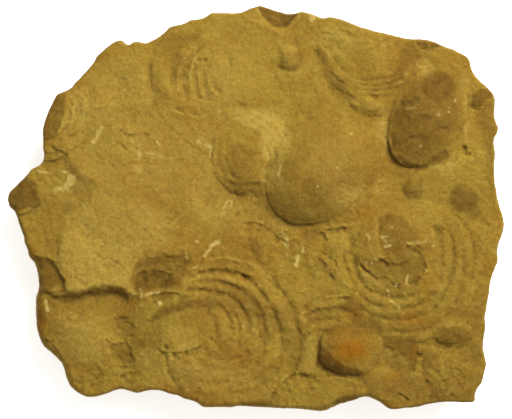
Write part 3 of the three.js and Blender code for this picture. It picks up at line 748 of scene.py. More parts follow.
# Brown shell, iron stain and earth, and in places painted shade on the sides of shells and edges turned
# from the lamp: how strong, how soft its edge in millimetres, and its outline
BROWN_AREAS = [
    (0.8, 0.3, [
        (256, 6), (262, 15), (269, 22), (276, 27), (286, 28), (293, 20), (299, 12), (289, 8), (262, 1),
    ]),
    (0.75, 0.25, [
        (3, 199), (14, 184), (26, 176), (30, 179), (35, 183), (37, 189), (38, 195), (41, 203),
        (40, 206), (35, 208), (26, 208), (21, 210), (8, 212),
    ]),
    (0.8, 0.6, [(470, 97), (477, 90), (488, 87), (493, 95), (485, 103), (479, 108), (473, 106)]),
    (0.72, 0.25, [
        (38, 257), (49, 260), (57, 269), (65, 283), (55, 286), (48, 290), (40, 288), (36, 272),
    ]),
    (0.55, 0.6, [(33, 293), (43, 296), (45, 318), (44, 333), (38, 342), (32, 325)]),
    # Along the left edge: partly earthy brown, partly painted shade where the rounded edge falls away
    (0.65, 0.7, [
        (8, 203), (16, 208), (21, 222), (28, 240), (36, 254), (41, 268), (40, 292), (30, 290),
        (10, 230),
    ]),
    (0.5, 1.4, [
        (131, 284), (136, 270), (144, 259), (165, 257), (187, 255), (193, 262), (188, 272), (178, 288),
        (135, 290),
    ]),
    (0.85, 0.8, [
        (131, 277), (141, 272), (153, 270), (165, 272), (176, 278), (180, 286), (160, 289), (134, 291),
    ]),
    (0.55, 0.8, [
        (380, 218), (391, 214), (399, 215), (407, 224), (416, 225), (418, 240), (407, 244), (396, 254),
        (384, 254), (379, 232),
    ]),
    (0.55, 0.5, [
        (361, 262), (382, 258), (396, 254), (407, 245), (420, 246), (424, 254), (428, 271), (414, 275),
        (392, 272), (378, 270),
    ]),
    (0.4, 0.9, [
        (360, 262), (374, 268), (400, 272), (428, 271), (415, 290), (400, 297), (384, 294), (370, 287),
    ]),
    # The rusty shell's lower left flank: partly grey-brown, partly painted shade on the side turned from
    # the lamp
    (1.0, 0.5, [
        (318, 340), (323, 343), (328, 350), (334, 357), (342, 363), (352, 368), (364, 371), (364, 378),
        (348, 377), (333, 374), (322, 369), (316, 363),
    ]),
    (0.75, 0.5, [
        (382, 336), (416, 335), (418, 352), (415, 372), (408, 372), (405, 360), (396, 350), (384, 350),
    ]),
    (0.5, 0.7, [(382, 350), (396, 350), (405, 360), (408, 373), (393, 372), (382, 360)]),
    (0.75, 1.3, [
        (344, 296), (352, 296), (366, 312), (380, 320), (388, 336), (370, 335), (354, 326), (342, 312),
    ]),
    (0.75, 0.8, [
        (148, 321), (161, 309), (181, 300), (202, 297), (217, 300), (227, 309), (213, 309), (194, 308),
        (174, 312), (157, 320),
    ]),
    (0.6, 0.5, [
        (224, 289), (240, 291), (252, 297), (263, 309), (264, 322), (254, 318), (245, 308), (234, 299),
    ]),
    (0.55, 0.5, [(261, 322), (270, 324), (272, 340), (264, 348), (260, 335)]),
    (0.35, 1.5, [(284, 298), (296, 308), (303, 328), (302, 360), (292, 372), (286, 342), (282, 315)]),
    (0.4, 2.0, [(384, 308), (420, 308), (440, 315), (430, 330), (400, 335), (384, 326)]),
    (0.45, 1.5, [(306, 306), (345, 300), (356, 312), (330, 324), (306, 326)]),
    (0.45, 1.0, [
        (405, 46), (416, 40), (420, 46), (416, 60), (405, 74), (390, 88), (384, 84), (396, 66),
    ]),
    (0.75, 0.9, [
        (391, 118), (400, 102), (412, 97), (424, 101), (434, 110), (440, 122), (432, 140), (436, 156),
        (425, 165), (405, 164), (392, 152),
    ]),
    # The dark domed shell's lower left margin: partly its brown, partly painted shade under its steep edge
    (0.8, 0.4, [
        (388, 138), (392, 151), (398, 159), (408, 162), (420, 163), (428, 160), (431, 164), (422, 170),
        (406, 168), (393, 164), (386, 153),
    ]),
    (0.3, 0.5, [(351, 101), (362, 99), (376, 102), (386, 108), (378, 113), (362, 112), (353, 107)]),
    (0.6, 0.7, [(416, 38), (441, 43), (437, 50), (419, 50)]),
    (0.55, 1.0, [(313, 48), (323, 50), (331, 66), (347, 86), (342, 94), (326, 78)]),
    (0.4, 1.0, [(331, 76), (346, 90), (356, 98), (344, 104), (330, 92)]),
    (0.45, 0.8, [(231, 143), (246, 145), (257, 152), (258, 168), (245, 178), (233, 178), (230, 160)]),
    (0.5, 1.0, [(229, 180), (262, 180), (264, 196), (240, 200), (230, 190)]),
    (0.5, 0.35, [(248, 238), (256, 238), (262, 248), (264, 260), (257, 256), (251, 248)]),
    (0.65, 0.5, [
        (56, 91), (66, 95), (63, 112), (60, 127), (55, 138), (46, 141), (38, 138), (40, 116), (48, 102),
    ]),
    (0.42, 0.6, [
        (58, 149), (66, 154), (73, 163), (79, 172), (76, 175), (69, 170), (62, 161), (52, 154),
    ]),
    (0.15, 1.2, [
        (74, 167), (84, 174), (94, 179), (99, 186), (92, 196), (80, 206), (70, 215), (58, 216),
        (46, 206), (44, 194), (60, 198), (78, 186),
    ]),
    (0.5, 1.0, [(420, 350), (440, 352), (434, 372), (423, 373)]),
    (0.4, 1.0, [(469, 338), (483, 343), (482, 368), (470, 362)]),
    (0.6, 0.6, [(240, 402), (262, 398), (272, 403), (262, 409), (244, 408)]),
    (0.9, 0.6, [(332, 402), (345, 394), (362, 394), (352, 402), (340, 407)]),
    (0.6, 0.6, [(430, 394), (440, 397), (438, 405), (428, 404)]),
    (0.4, 1.0, [(278, 52), (298, 54), (301, 68), (284, 69)]),
    (0.45, 0.8, [(303, 228), (318, 229), (324, 236), (314, 240), (304, 238)]),
    (0.5, 0.7, [(318, 257), (326, 259), (334, 267), (338, 281), (330, 278), (323, 268)]),
    (0.3, 1.5, [(150, 58), (160, 78), (166, 104), (156, 108), (148, 84)]),
    (0.25, 1.0, [
        (161, 50), (164, 38), (176, 32), (200, 29), (212, 30), (200, 38), (184, 44), (180, 56),
        (180, 80), (172, 84), (171, 62),
    ]),
    (0.35, 1.3, [(148, 76), (153, 70), (160, 78), (166, 92), (166, 100), (156, 96)]),
    (0.35, 1.5, [(455, 300), (483, 304), (484, 340), (470, 322), (452, 316)]),
    (0.4, 0.35, [(110, 345), (119, 342), (127, 346), (136, 363), (124, 365), (112, 359)]),
    (0.55, 0.3, [(122, 356), (130, 353), (135, 364), (127, 365)]),
    (0.4, 0.35, [(112, 318), (120, 314), (127, 316), (131, 326), (134, 338), (126, 335), (118, 330)]),
    (0.5, 0.9, [(146, 292), (163, 290), (180, 296), (160, 300)]),
    (0.42, 2.0, [
        (200, 282), (240, 286), (268, 300), (285, 316), (286, 332), (262, 330), (240, 318), (220, 305),
    ]),
    (0.2, 1.5, [(40, 298), (110, 298), (128, 304), (120, 316), (60, 314), (42, 312)]),
    (0.42, 2.5, [(366, 374), (440, 374), (486, 372), (484, 404), (392, 414), (366, 398)]),
    (0.35, 1.5, [(484, 92), (500, 110), (504, 160), (500, 200), (490, 196), (486, 150), (478, 120)]),
    (0.5, 0.6, [
        (44, 290), (57, 294), (68, 296), (80, 294), (92, 289), (106, 287), (126, 289), (129, 299),
        (114, 295), (98, 294), (80, 300), (68, 304), (56, 299),
    ]),
]

# Brown ovals: a place, half the length and width in millimetres, a turn and how strong it is
BROWN_OVALS = [
    ((426, 117), (16.5, 11), 64, 0.65),
    ((438, 88), (6.5, 6), 0, 0.9),
    ((440, 157), (4, 2.5), 30, 0.85),
    # The next four, on the domed shell: partly its brown, partly painted shade on its lower left, the side
    # turned from the lamp
    ((286, 208), (10, 6), -22, 0.45),
    ((298, 198), (12, 9), -30, 0.38),
    ((311, 187), (4, 4), 0, 0.6),
    ((318, 176), (17, 14), 45, 0.26),
    ((452, 336), (6.5, 3.4), -8, 0.75),
    ((464, 200), (5.3, 4.7), -20, 0.85),
    ((473, 212), (3.0, 2.6), 0, 0.5),
    ((413, 188), (3.5, 3.9), 40, 0.6),
    ((404, 173), (4.5, 1.8), 0, 0.35),
    ((348, 337), (12, 5), 0, 0.5),
    ((370, 345), (5, 8), 0, 0.35),
    ((445, 315), (20, 30), 0, 0.15),
    ((436, 186), (6, 6), 0, 0.2),
]

# Paler, yellower ground, in the same way
PALE_AREAS = [
    (0.4, 5.0, [
        (56, 120), (96, 104), (140, 106), (196, 122), (212, 128), (226, 190), (272, 206), (294, 222),
        (240, 226), (196, 228), (176, 208), (140, 192), (90, 200), (48, 214), (60, 160),
    ]),
    (0.35, 3.0, [(140, 350), (170, 352), (220, 362), (256, 372), (262, 392), (200, 392), (150, 385)]),
    (0.55, 4.0, [
        (64, 218), (94, 192), (140, 197), (172, 215), (170, 240), (145, 256), (133, 273), (128, 284),
        (68, 288), (62, 262), (64, 235),
    ]),
    (0.7, 2.0, [(62, 232), (80, 222), (112, 224), (134, 246), (130, 284), (68, 290), (60, 262)]),
    (0.8, 0.3, [(364, 271), (373, 273), (381, 280), (385, 288), (376, 285), (367, 278)]),
    (0.6, 1.0, [(303, 338), (316, 336), (316, 362), (322, 372), (306, 370)]),
    (0.6, 1.5, [(66, 92), (88, 86), (98, 100), (94, 130), (76, 134), (66, 120)]),
    (1.0, 1.2, [
        (228, 110), (262, 108), (284, 118), (292, 150), (280, 164), (262, 158), (262, 132), (236, 118),
    ]),
]
PALE_OVALS = [
    ((215, 82), (13, 13), 0, 0.35),
    ((122, 96), (18, 14), 20, 0.4),
    ((160, 140), (14, 9), 0, 0.35),
    ((428, 144), (1.6, 1.4), 0, 0.6),
    ((466, 108), (2.6, 13), 0, 0.3),
    ((384, 130), (2.6, 8), 0, 0.7),
    ((424, 70), (3.2, 3.6), 0, 0.8),
    # The next four, on the domed shell: partly its paler ground, partly a painted highlight on its flanks
    ((340, 160), (12, 10), 40, 0.35),
    ((272, 178), (4, 5), 0, 0.7),
    ((346, 196), (7, 5), 20, 0.8),
    ((383, 188), (3, 4), 0, 0.7),
    ((180, 338), (6, 4.5), 0, 0.4),
    ((138, 170), (2.0, 2.4), 0, 1.0),
    ((82, 338), (10, 9), 0, 0.5),
    ((448, 165), (5, 4), 20, 0.5),
    ((208, 178), (4, 4), 0, 0.5),
    ((336, 40), (8, 5), 0, 0.5),
]

# White calcite: its width in millimetres, how strong it is, and its route
CALCITE_LINES = [
    (0.55, 0.85, [(102, 128), (98, 133), (97, 138), (93, 142)]),
    (0.26, 0.51, [(138, 144), (139, 150)]),
    (0.59, 0.59, [(139, 151), (139, 157)]),
    (0.26, 0.68, [(145, 153), (155, 154)]),
    (0.34, 0.59, [(157, 155), (164, 157)]),
    (0.21, 0.51, [(170, 158), (178, 158)]),
    (0.26, 0.68, [(155, 138), (157, 142), (160, 145)]),
    (0.68, 0.59, [(198, 142), (204, 144), (211, 147)]),
    (0.34, 0.59, [(211, 148), (210, 157)]),
    (0.21, 0.42, [(219, 104), (219, 112), (220, 120)]),
    (0.34, 0.77, [(37, 171), (43, 172), (50, 174)]),
    (0.51, 0.77, [(61, 171), (66, 172)]),
    (0.75, 0.75, [(73, 177), (71, 182), (68, 187)]),
    (0.7, 0.65, [(70, 177), (68, 182), (64, 187), (57, 189)]),
    (0.5, 0.6, [(67, 188), (61, 190), (55, 190)]),
    (0.3, 0.68, [(232, 201), (231, 206)]),
    (0.3, 0.68, [(229, 201), (225, 205), (223, 209)]),
    (0.34, 0.42, [(222, 212), (226, 213)]),
    (0.77, 0.77, [(218, 242), (212, 245)]),
    (0.42, 0.77, [(212, 246), (208, 251), (204, 256)]),
    (0.42, 0.68, [(194, 268), (197, 267)]),
    (0.3, 0.51, [(186, 252), (187, 258)]),
    (0.34, 0.85, [(280, 166), (278, 175)]),
    (0.77, 0.68, [(286, 239), (287, 246)]),
    (0.26, 0.51, [(283, 232), (288, 250)]),
    (0.55, 0.85, [(298, 256), (297, 266)]),
    (0.34, 0.77, [(304, 247), (302, 253)]),
    (0.51, 0.77, [(147, 295), (152, 293), (158, 292)]),
    (0.3, 0.59, [(140, 289), (142, 297)]),
    (0.34, 0.59, [(367, 234), (369, 239)]),
    (0.42, 0.68, [(381, 237), (386, 236)]),
    (0.26, 0.51, [(382, 238), (386, 243), (390, 246)]),
    (0.42, 0.77, [(385, 246), (390, 246)]),
    (0.26, 0.51, [(374, 258), (378, 260)]),
    (0.34, 0.85, [(407, 276), (407, 284)]),
    (0.3, 0.77, [(391, 301), (396, 304), (399, 308)]),
    (0.59, 0.85, [(45, 301), (47, 311)]),
    (0.26, 0.51, [(27, 207), (33, 209)]),
    (0.42, 0.42, [(407, 243), (418, 243), (428, 240)]),
    (0.26, 0.42, [(406, 109), (414, 108)]),
]

# Its dots: a place, a radius in millimetres and how strong it is
CALCITE_DOTS = [
    ((438, 115), 0.5, 0.7), ((448, 112), 0.35, 1.0), ((455, 101), 0.3, 0.8), ((449, 108), 0.25, 0.6),
    ((351, 134), 0.35, 0.9), ((337, 168), 0.3, 0.7), ((317, 186), 0.35, 0.8), ((160, 303), 0.7, 0.9),
    ((388, 291), 0.4, 0.9), ((389, 295), 0.35, 0.8), ((396, 285), 0.5, 1.0), ((433, 246), 0.4, 0.9),
    ((391, 228), 0.3, 0.8), ((312, 18), 1.0, 0.8), ((197, 242), 0.45, 0.8), ((199, 276), 0.4, 0.7),
    ((287, 255), 0.3, 0.7), ((366, 262), 0.35, 0.6), ((371, 263), 0.35, 0.7), ((366, 266), 0.3, 0.6),
    ((244, 326), 0.3, 0.8), ((72, 96), 0.35, 0.6), ((219, 111), 0.3, 0.8), ((427, 270), 0.35, 0.7),
    ((420, 146), 0.25, 0.6), ((420, 158), 0.25, 0.6), ((289, 322), 0.3, 0.6), ((316, 192), 0.2, 0.5),
]

# Orange iron stain, as ovals in the same way
RUST_OVALS = [
    ((351, 350), (8.5, 5.5), 10, 0.85),
    ((350, 314), (5, 3), 20, 0.3),
    ((350, 342), (10, 7), 0, 0.35),
    ((236, 358), (6, 4), 0, 0.2),
    ((39, 322), (2.2, 7), 0, 0.45),
    ((33, 252), (2.2, 4), 0, 0.4),
    ((390, 376), (5, 2), 10, 0.3),
    ((384, 188), (3, 4), 0, 0.25),
    ((366, 212), (5, 4), 20, 0.3),
    ((410, 320), (9, 4), 10, 0.3),
    ((428, 282), (5, 6), 0, 0.2),
    ((415, 352), (1.2, 2.5), 0, 0.4),
    ((392, 406), (3, 1.2), 0, 0.4),
    ((488, 262), (3, 8), 0, 0.25),
    ((352, 278), (2, 3), 0, 0.3),
    ((480, 92), (3, 2), 0, 0.2),
    ((175, 390), (5, 1.6), -20, 0.25),
]

# Hollows and crests are told from the ground round them, near by and farther off in cells of the
# face's grid. They count fully at these depths in millimetres. The hollows get painted shade with
# some dirt, and the crests a painted highlight
NEAR_CELLS, FAR_CELLS = 2, 8
FINE_DEPTH, WIDE_DEPTH = 0.14, 0.5

# The mesh: the most points on the face, how far apart the rows of a lattice of equal triangles stand
# as a share of its spacing, how near the outline the distance to it counts, and the spacing of the
# points on the underside, both in millimetres
MOST_FACE_POINTS = 81000
ROW_HEIGHT = 0.866
EDGE_REACH = 7
BASE_SPACING = 2.4

# Edges at least this sharp aren't smoothed over in the shading
SHARP_ANGLE = math.radians(60)

# Beds in the broken sides: the height in millimetres where one lies on the next, how high the step
# between them is, and how earthy and brown each bed is
BED_JOINTS = [15.1, 12.9, 11.3, 7.9, 5.4, 2.4]
JOINT_WIDTH = 0.35
BED_EARTH = [0.05, 0.4, 0.0, 0.3, 0.1, 0.45, 0.15]

# How far the sides lie inside the outline in millimetres, at shares of the height
WALL_SHARES = [0, 0.18, 0.4, 0.55, 0.8, 1]
WALL_INSETS = [3.4, 1.6, 0.9, 0.3, 0.0, 0.0]

# The most that a bed stands back from the others. Then scoops and facets in the sides: how deep they
# are in millimetres, how much lower than long, their size along the side in millimetres, and a seed
BED_SETBACK = 1.9
WALL_SCOOPS = [(0.7, 1.3, 6.5, 156), (0.4, 1.3, 2.4, 157)]
WALL_FACETS = [(1.3, 0.8, 7, 153), (0.45, 1.2, 2.4, 155)]

# The outline's small waves don't run down the sides: they are averaged out over this many
# millimetres. Where the outline closes, patterns along it change over into each other over the next
SOFT_REACH = 3.0
CLOSING = 12

# The lamp's width in metres, its power in watts and its colour, and the surround's colour and strength
LAMP_WIDTH = 0.51
LAMP_POWER = 14.1
LAMP_COLOUR = (1.0, 0.985, 0.95)
SURROUND_COLOUR = (1.0, 0.99, 0.97, 1.0)
SURROUND_STRENGTH = 0.5


# Numbers that vary over the face

def place(spots):
    """Turns places on the photograph into millimetres from the slab's middle."""
    spots = np.asarray(spots, float)
    return (spots - MIDDLE) * np.array([MM_PER_PIXEL, -MM_PER_PIXEL])


def across_photo(x):
    """Distances across the photograph in pixels, from millimetres."""
    return x / MM_PER_PIXEL + MIDDLE[0]


def ease(low, high, values):
    """Rises smoothly from 0 at low to 1 at high."""
    share = np.clip((values - low) / (high - low), 0, 1)
    return share * share * (3 - 2 * share)


def noise(x, y, size, seed):
    """Smooth random values, mostly from -1 to 1, that change over size millimetres."""
    cells = 256
    turns = np.random.default_rng(seed).uniform(0, 2 * math.pi, (cells, cells))
    lean_x, lean_y = np.cos(turns), np.sin(turns)
    u, v = x / size + cells / 2, y / size + cells / 2
    column, row = np.floor(u).astype(int), np.floor(v).astype(int)
    a, b = u - column, v - row

    def corner(i, j):
        at = ((column + i) % cells, (row + j) % cells)
        return lean_x[at] * (a - i) + lean_y[at] * (b - j)

    fade_a = a * a * a * (a * (6 * a - 15) + 10)
    fade_b = b * b * b * (b * (6 * b - 15) + 10)
    low = corner(0, 0) + fade_a * (corner(1, 0) - corner(0, 0))
    high = corner(0, 1) + fade_a * (corner(1, 1) - corner(0, 1))
    return 1.5 * (low + fade_b * (high - low))


def fractal(x, y, size, seed, octaves=4):
    """Noise with finer and fainter noise added to it, all of it equally steep."""
    return sum(noise(x, y, size / 2**i, seed + i) / 2**i for i in range(octaves))


def scoop(x, y, size, seed):
    """Shallow scoops with sharp edges between them, from 0 at an edge to about 1."""
    cells = 64
    chance = np.random.default_rng(seed)
    shift_x, shift_y = chance.uniform(0, 1, (2, cells, cells))
    u, v = x / size, y / size
    column, row = np.floor(u).astype(int), np.floor(v).astype(int)
    nearest = np.full(u.shape, 9.0)
    for i in (-1, 0, 1):
        for j in (-1, 0, 1):
            at = ((column + i) % cells, (row + j) % cells)
            away = np.hypot(column + i + shift_x[at] - u, row + j + shift_y[at] - v)
            nearest = np.minimum(nearest, away)
    return np.clip(1 - nearest * nearest, 0, 1)


def facets(x, y, size, seed):
    """Flat facets that each lean their own way, with broken steps between them."""
    cells = 64
    chance = np.random.default_rng(seed)
    shift_x, shift_y = chance.uniform(0, 1, (2, cells, cells))
    lean_x, lean_y = chance.uniform(-1, 1, (2, cells, cells))
    u, v = x / size, y / size
    column, row = np.floor(u).astype(int), np.floor(v).astype(int)
    nearest = np.full(u.shape, 9.0)
    height = np.zeros(u.shape)
    for i in (-1, 0, 1):
        for j in (-1, 0, 1):
            at = ((column + i) % cells, (row + j) % cells)
            off_x, off_y = u - column - i - shift_x[at], v - row - j - shift_y[at]
            away = np.hypot(off_x, off_y)
            closer = away < nearest
            nearest = np.where(closer, away, nearest)
            height = np.where(closer, lean_x[at] * off_x + lean_y[at] * off_y, height)
    return height


def window(x, y, spots, reach):
    """The part of the grid within reach of some places, as slices of its rows and columns."""
    low, high = spots.min(axis=0) - reach, spots.max(axis=0) + reach
    columns = np.searchsorted(x[0], [low[0], high[0]])
    rows = np.searchsorted(y[:, 0], [low[1], high[1]])
    return slice(*rows), slice(*columns)


def inside(x, y, corners):
    """Distance into the area within the corners, in millimetres, and below 0 outside it."""
    spots = place(corners)
    nearest = np.full(x.shape, np.inf)
    within = np.zeros(x.shape, bool)
    for (ax, ay), (bx, by) in zip(spots, np.roll(spots, -1, axis=0)):
        nearest = np.minimum(nearest, segment_distance(x, y, (ax, ay), (bx, by)))
        if ay != by:
            crosses = (ay > y) != (by > y)
            within ^= crosses & (x < (bx - ax) * (y - ay) / (by - ay) + ax)
    return np.where(within, nearest, -nearest)


def segment_distance(x, y, start, end):
    """Distance to a straight stretch between two places in millimetres."""
    along = np.subtract(end, start)
    share = ((x - start[0]) * along[0] + (y - start[1]) * along[1]) / max(along @ along, 1e-9)
    share = np.clip(share, 0, 1)
    return np.hypot(x - start[0] - share * along[0], y - start[1] - share * along[1])


def smooth_curve(corners, steps):
    """Points along a smooth curve from the second corner to the last but one."""
    before, start, end, beyond = corners[:-3], corners[1:-2], corners[2:-1], corners[3:]
    points = [
        start + 0.5 * ((end - before) * t + (2 * before - 5 * start + 4 * end - beyond) * t * t
                       + (3 * start - before - 3 * end + beyond) * t**3)
        for t in np.arange(steps) / steps
    ]
    return np.stack(points, axis=1).reshape(-1, 2)


def smooth_route(route):
    """A route over the photograph as a smooth curve in millimetres."""
    spots = place(route)
    ends = 2 * spots[0] - spots[1], 2 * spots[-1] - spots[-2]
    return np.vstack([smooth_curve(np.vstack([ends[0], spots, ends[1]]), 4), spots[-1:]])


def beside_curve(x, y, curve):
    """How far places lie to the right of a curve, and how far along it, from 0 to 1."""
    nearest = np.full(x.shape, np.inf)
    right = np.zeros(x.shape)
    along = np.zeros(x.shape)
    steps = np.diff(curve, axis=0)
    sizes = np.hypot(*steps.T)
    lengths = np.cumsum(sizes) - sizes
    for start, step, size, length in zip(curve, steps, sizes, lengths):
        share = ((x - start[0]) * step[0] + (y - start[1]) * step[1]) / size**2
        share = np.clip(share, 0, 1)
        off_x, off_y = x - start[0] - share * step[0], y - start[1] - share * step[1]
        away = np.hypot(off_x, off_y)
        closer = away < nearest
        nearest = np.where(closer, away, nearest)
        right = np.where(closer, np.copysign(away, off_x * step[1] - off_y * step[0]), right)
        along = np.where(closer, length + share * size, along)
    return right, along / sizes.sum()


def oval_share(x, y, at, half, turn=0):
    """Distance from the middle of an oval, as a share of the way to its edge."""
    middle = place(at)
    angle = math.radians(turn)
    along = (x - middle[0]) * math.cos(angle) + (y - middle[1]) * math.sin(angle)
    beside = (y - middle[1]) * math.cos(angle) - (x - middle[0]) * math.sin(angle)
    return np.hypot(along / half[0], beside / half[1])


def reach_share(x, y, at, reach):
    """Distance from a place, as a share of a reach in pixels of the photograph."""
    middle = place(at)
    return np.hypot(x - middle[0], y - middle[1]) / (reach * MM_PER_PIXEL)


# The relief

def bed_height(x, y):
    """Height of the bedding plane, as in the solid."""
    height = BED_LEVEL + 0.22 * np.sin(x / 7.3 + 0.8) * np.cos(y / 6.1) + 0.14 * np.sin((x + y) / 3.9)
    for at, reach, rise in SWELLS:
        height += rise * np.exp(-reach_share(x, y, at, reach) ** 2)
    return height


def shell_growth(x, y, shell):
    """Share of the way from a shell's umbo to its margin, and the direction, at each place."""
    umbo = place(shell["umbo"])
    outer = place(shell["outer"])
    angle = math.radians(shell.get("turn", 0))
    turned = np.array([[math.cos(angle), math.sin(angle)], [-math.sin(angle), math.cos(angle)]])
    half = np.array(shell["half"])
    drift = turned @ (outer - umbo) / half
    away_x, away_y = x - umbo[0], y - umbo[1]
    u = (turned[0, 0] * away_x + turned[0, 1] * away_y) / half[0]
    v = (turned[1, 0] * away_x + turned[1, 1] * away_y) / half[1]
    leftover = 1 - drift @ drift
    dot = u * drift[0] + v * drift[1]
    growth = (np.sqrt(dot * dot + leftover * (u * u + v * v)) - dot) / leftover
    around = np.arctan2(v - growth * drift[1], u - growth * drift[0])
    uneven = 0.022 * np.sin(3 * around + umbo[0]) + 0.012 * np.sin(7 * around - 2 * umbo[0])
    degrees = np.degrees(around) + shell.get("turn", 0)
    return growth / (1 + uneven + towards(degrees, shell.get("reach", [(0, 0)]))), degrees


def shell_height(x, y, shell):
    """Height of a shell above what it lies on, very low outside it, and the height of its rim."""
    growth, degrees = shell_growth(x, y, shell)
    outwards = ease(0.2, 0.9, growth)
    growth = growth + 0.012 * noise(x, y, 4, 70) * outwards
    clarity = towards(degrees, shell["rings"]) * np.clip(0.8 + 0.6 * noise(x, y, 6, 71), 0, 1.3)
    covered = outwards * (1 - towards(degrees, shell["margin"]))
    rim = shell["rim"] + (COVERED_RIM - shell["rim"]) * covered
    height = rim + shell["crown"] * (1 - growth ** shell.get("round", 2))
    starts = [*shell["grooves"], 1]
    for start, end in zip(starts, starts[1:]):
        phase = np.clip((growth - start) / (end - start), 0, 1)
        height += shell["ridge"] * clarity * np.sin(math.pi * phase) ** 0.8
    lines = growth_lines(growth, degrees, max(shell["half"]))
    height += GROWTH_LINES * clarity * outwards * lines
    outside = rim - MARGIN_STEEPNESS * (growth - 1) * max(shell["half"])
    return np.where(growth < 1, height, outside), rim


def growth_lines(growth, degrees, size):
    """Fine lines along a shell's growth: noise drawn out round the umbo, in two parts without a seam."""
    out = growth * size
    turned = (degrees + 180) % 360 - 180
    front = fractal(out, np.radians(turned) * size / 8, 1.1, 171, 2)
    back = fractal(out, np.radians(degrees % 360) * size / 8, 1.1, 173, 2)
    return front + (back - front) * ease(70, 110, np.abs(turned))


def towards(degrees, clear):
    """How clear a shell is in each direction, between the directions that are given."""
    angles, values = zip(*clear)
    return np.interp(degrees, angles, values, period=360)


def lower_lost_bed(x, y, height, bed):
    """Lowers the height where a bed has split away."""
    depth_in = inside(x, y, bed["corners"])
    depth = np.full(x.shape, float(bed["depth"]))
    if "fade" in bed:
        depth *= 1 - ease(*bed["fade"], across_photo(x))
    return height - depth * ease(-bed["step"], bed["step"], depth_in)


def slab_relief(x, y):
    """Heights of the slab's face without its rounded edge, in millimetres."""
    warp_x = x + 0.5 * fractal(x, y, 5, 11)
    warp_y = y + 0.5 * fractal(x, y, 5, 21)
    height = bed_height(x, y) + 0.35 * fractal(x, y, 22, 35, 2) + flakes(x, y)
    for bed in LOST_BEDS:
        height = lower_lost_bed(warp_x, warp_y, height, bed)
    grainy = np.ones(x.shape)
    for shell in SHELLS:
        own, rim = shell_height(x + 0.5 * (warp_x - x), y + 0.5 * (warp_y - y), shell)
        own += bed_height(x, y) + shell.get("lift", 0) + 0.12 * fractal(x, y, 9, 41, 2)
        if "sinks" in shell:
            deep, low, high = shell["sinks"]
            own -= deep * (1 - ease(low, high, across_photo(x)))
        over = ease(-0.3, 0.3, own - height)
        grainy = grainy * (1 - over) + (1 - shell.get("smooth", 0)) * over
        height = smooth_max(height, own, np.interp(rim, [COVERED_RIM, 0.4], [1.3, 0.35]))
    for at, half, turn, crown, rim in FRAGMENTS:
        share = oval_share(warp_x, warp_y, at, half, turn)
        dome = rim + crown * (1 - share * share)
        dome = np.where(share < 1, dome, rim - MARGIN_STEEPNESS * (share - 1) * max(half))
        height = smooth_max(height, bed_height(x, y) + dome, 0.4)
    for chip in CHIPS:
        height = lower_lost_bed(warp_x, warp_y, height, chip)
    height += lines_and_ledges(x, y)
    for at, radius, depth in PITS:
        height -= depth * np.exp(-oval_share(warp_x, warp_y, at, (radius, radius)) ** 2)
    return height + grainy * stone_surface(x, y)


def lines_and_ledges(x, y):
    """The heights of the grooves, ridges, rings and broken edges, each of them uneven."""
    height = np.zeros(x.shape)
    bent_x = x + 0.22 * fractal(x, y, 2.4, 61, 2)
    bent_y = y + 0.22 * fractal(x, y, 2.4, 63, 2)
    uneven = np.clip(0.9 + 0.9 * fractal(x, y, 2.8, 65, 2), 0.1, 1.8)
    for sign, lines in ((-1, GROOVES), (1, RIDGES)):
        for width, size, route in lines:
            curve = smooth_route(route)
            part = window(x, y, curve, 2.2 * width + 0.5)
            lit = towards_light(bent_x[part], bent_y[part], LINE_SHIFT * width)
            right, along = beside_curve(*lit, curve)
            height[part] += sign * size * tips(along) * uneven[part] * np.exp(-((right / width) ** 2))
    for width, depth, route in RINGS:
        curve = smooth_route(route)
        part = window(x, y, curve, 5 * width)
        lit = towards_light(bent_x[part], bent_y[part], RING_SHIFT * width)
        right, along = beside_curve(*lit, curve)
        valley = np.exp(-np.hypot(right / width, 0.25))
        height[part] -= depth * tips(along) * (0.65 + 0.35 * uneven[part]) * valley
    for drop, reach, route in LEDGES:
        curve = smooth_route(route)
        part = window(x, y, curve, 2.5 * reach)
        right, along = beside_curve(bent_x[part], bent_y[part], curve)
        fallen = ease(-0.3, 0.3, right)
        lip = LIP_HEIGHT * np.exp(-((right / LIP_WIDTH) ** 2)) * (1 - fallen)
        lower = fallen * np.exp(-((np.maximum(right, 0) / reach) ** 2))
        height[part] += drop * tips(along) * uneven[part] * (lip - lower)
    return height


def towards_light(x, y, distance):
    """Places moved towards the light, so that a line's shaded or lit wall comes onto its route."""
    return x + distance * LIGHT_FROM[0], y + distance * LIGHT_FROM[1]


def tips(along):
    """Fades a line out towards both of its ends."""
    return ease(0, 0.15, along) * (1 - ease(0.85, 1, along))


def flakes(x, y):
    """Thin flakes of the bedding plane, with low steps between them."""
    level = 2.4 * fractal(x, y, 15, 81)
    step = np.floor(level)
    return 0.13 * (step + ease(0.3, 0.7, level - step))


def stone_surface(x, y):
    """The grain of the split stone: swells, shallow chips with edges between them, and hackly ground."""
    bent_x = x + 0.9 * fractal(x, y, 4, 131, 3)
    bent_y = y + 0.9 * fractal(x, y, 4, 135, 3)
    chipped = ease(-0.3, 0.7, fractal(x, y, 9, 139, 3))
    fine = 0.06 + 0.05 * ease(-5, 20, -y)
    surface = 0.18 * fractal(x, y, 7, 31) + fine * fractal(x, y, 1.6, 145, 2)
    surface -= 0.1 * chipped * scoop(bent_x, 1.4 * bent_y, 5.5, 142)
    surface += (0.07 + 0.16 * chipped) * facets(bent_x, 1.2 * bent_y, 3.1, 143)
    surface += (0.04 + 0.05 * chipped) * facets(bent_x, bent_y, 1.5, 144)
    rough = roughness_of_ground(x, y)
    surface += rough * (0.6 * facets(bent_x, bent_y, 3.6, 55) + 0.35 * facets(bent_x, bent_y, 1.8, 56))
    return surface + rough * (0.2 * fractal(x, y, 3, 51, 3) - 0.2)


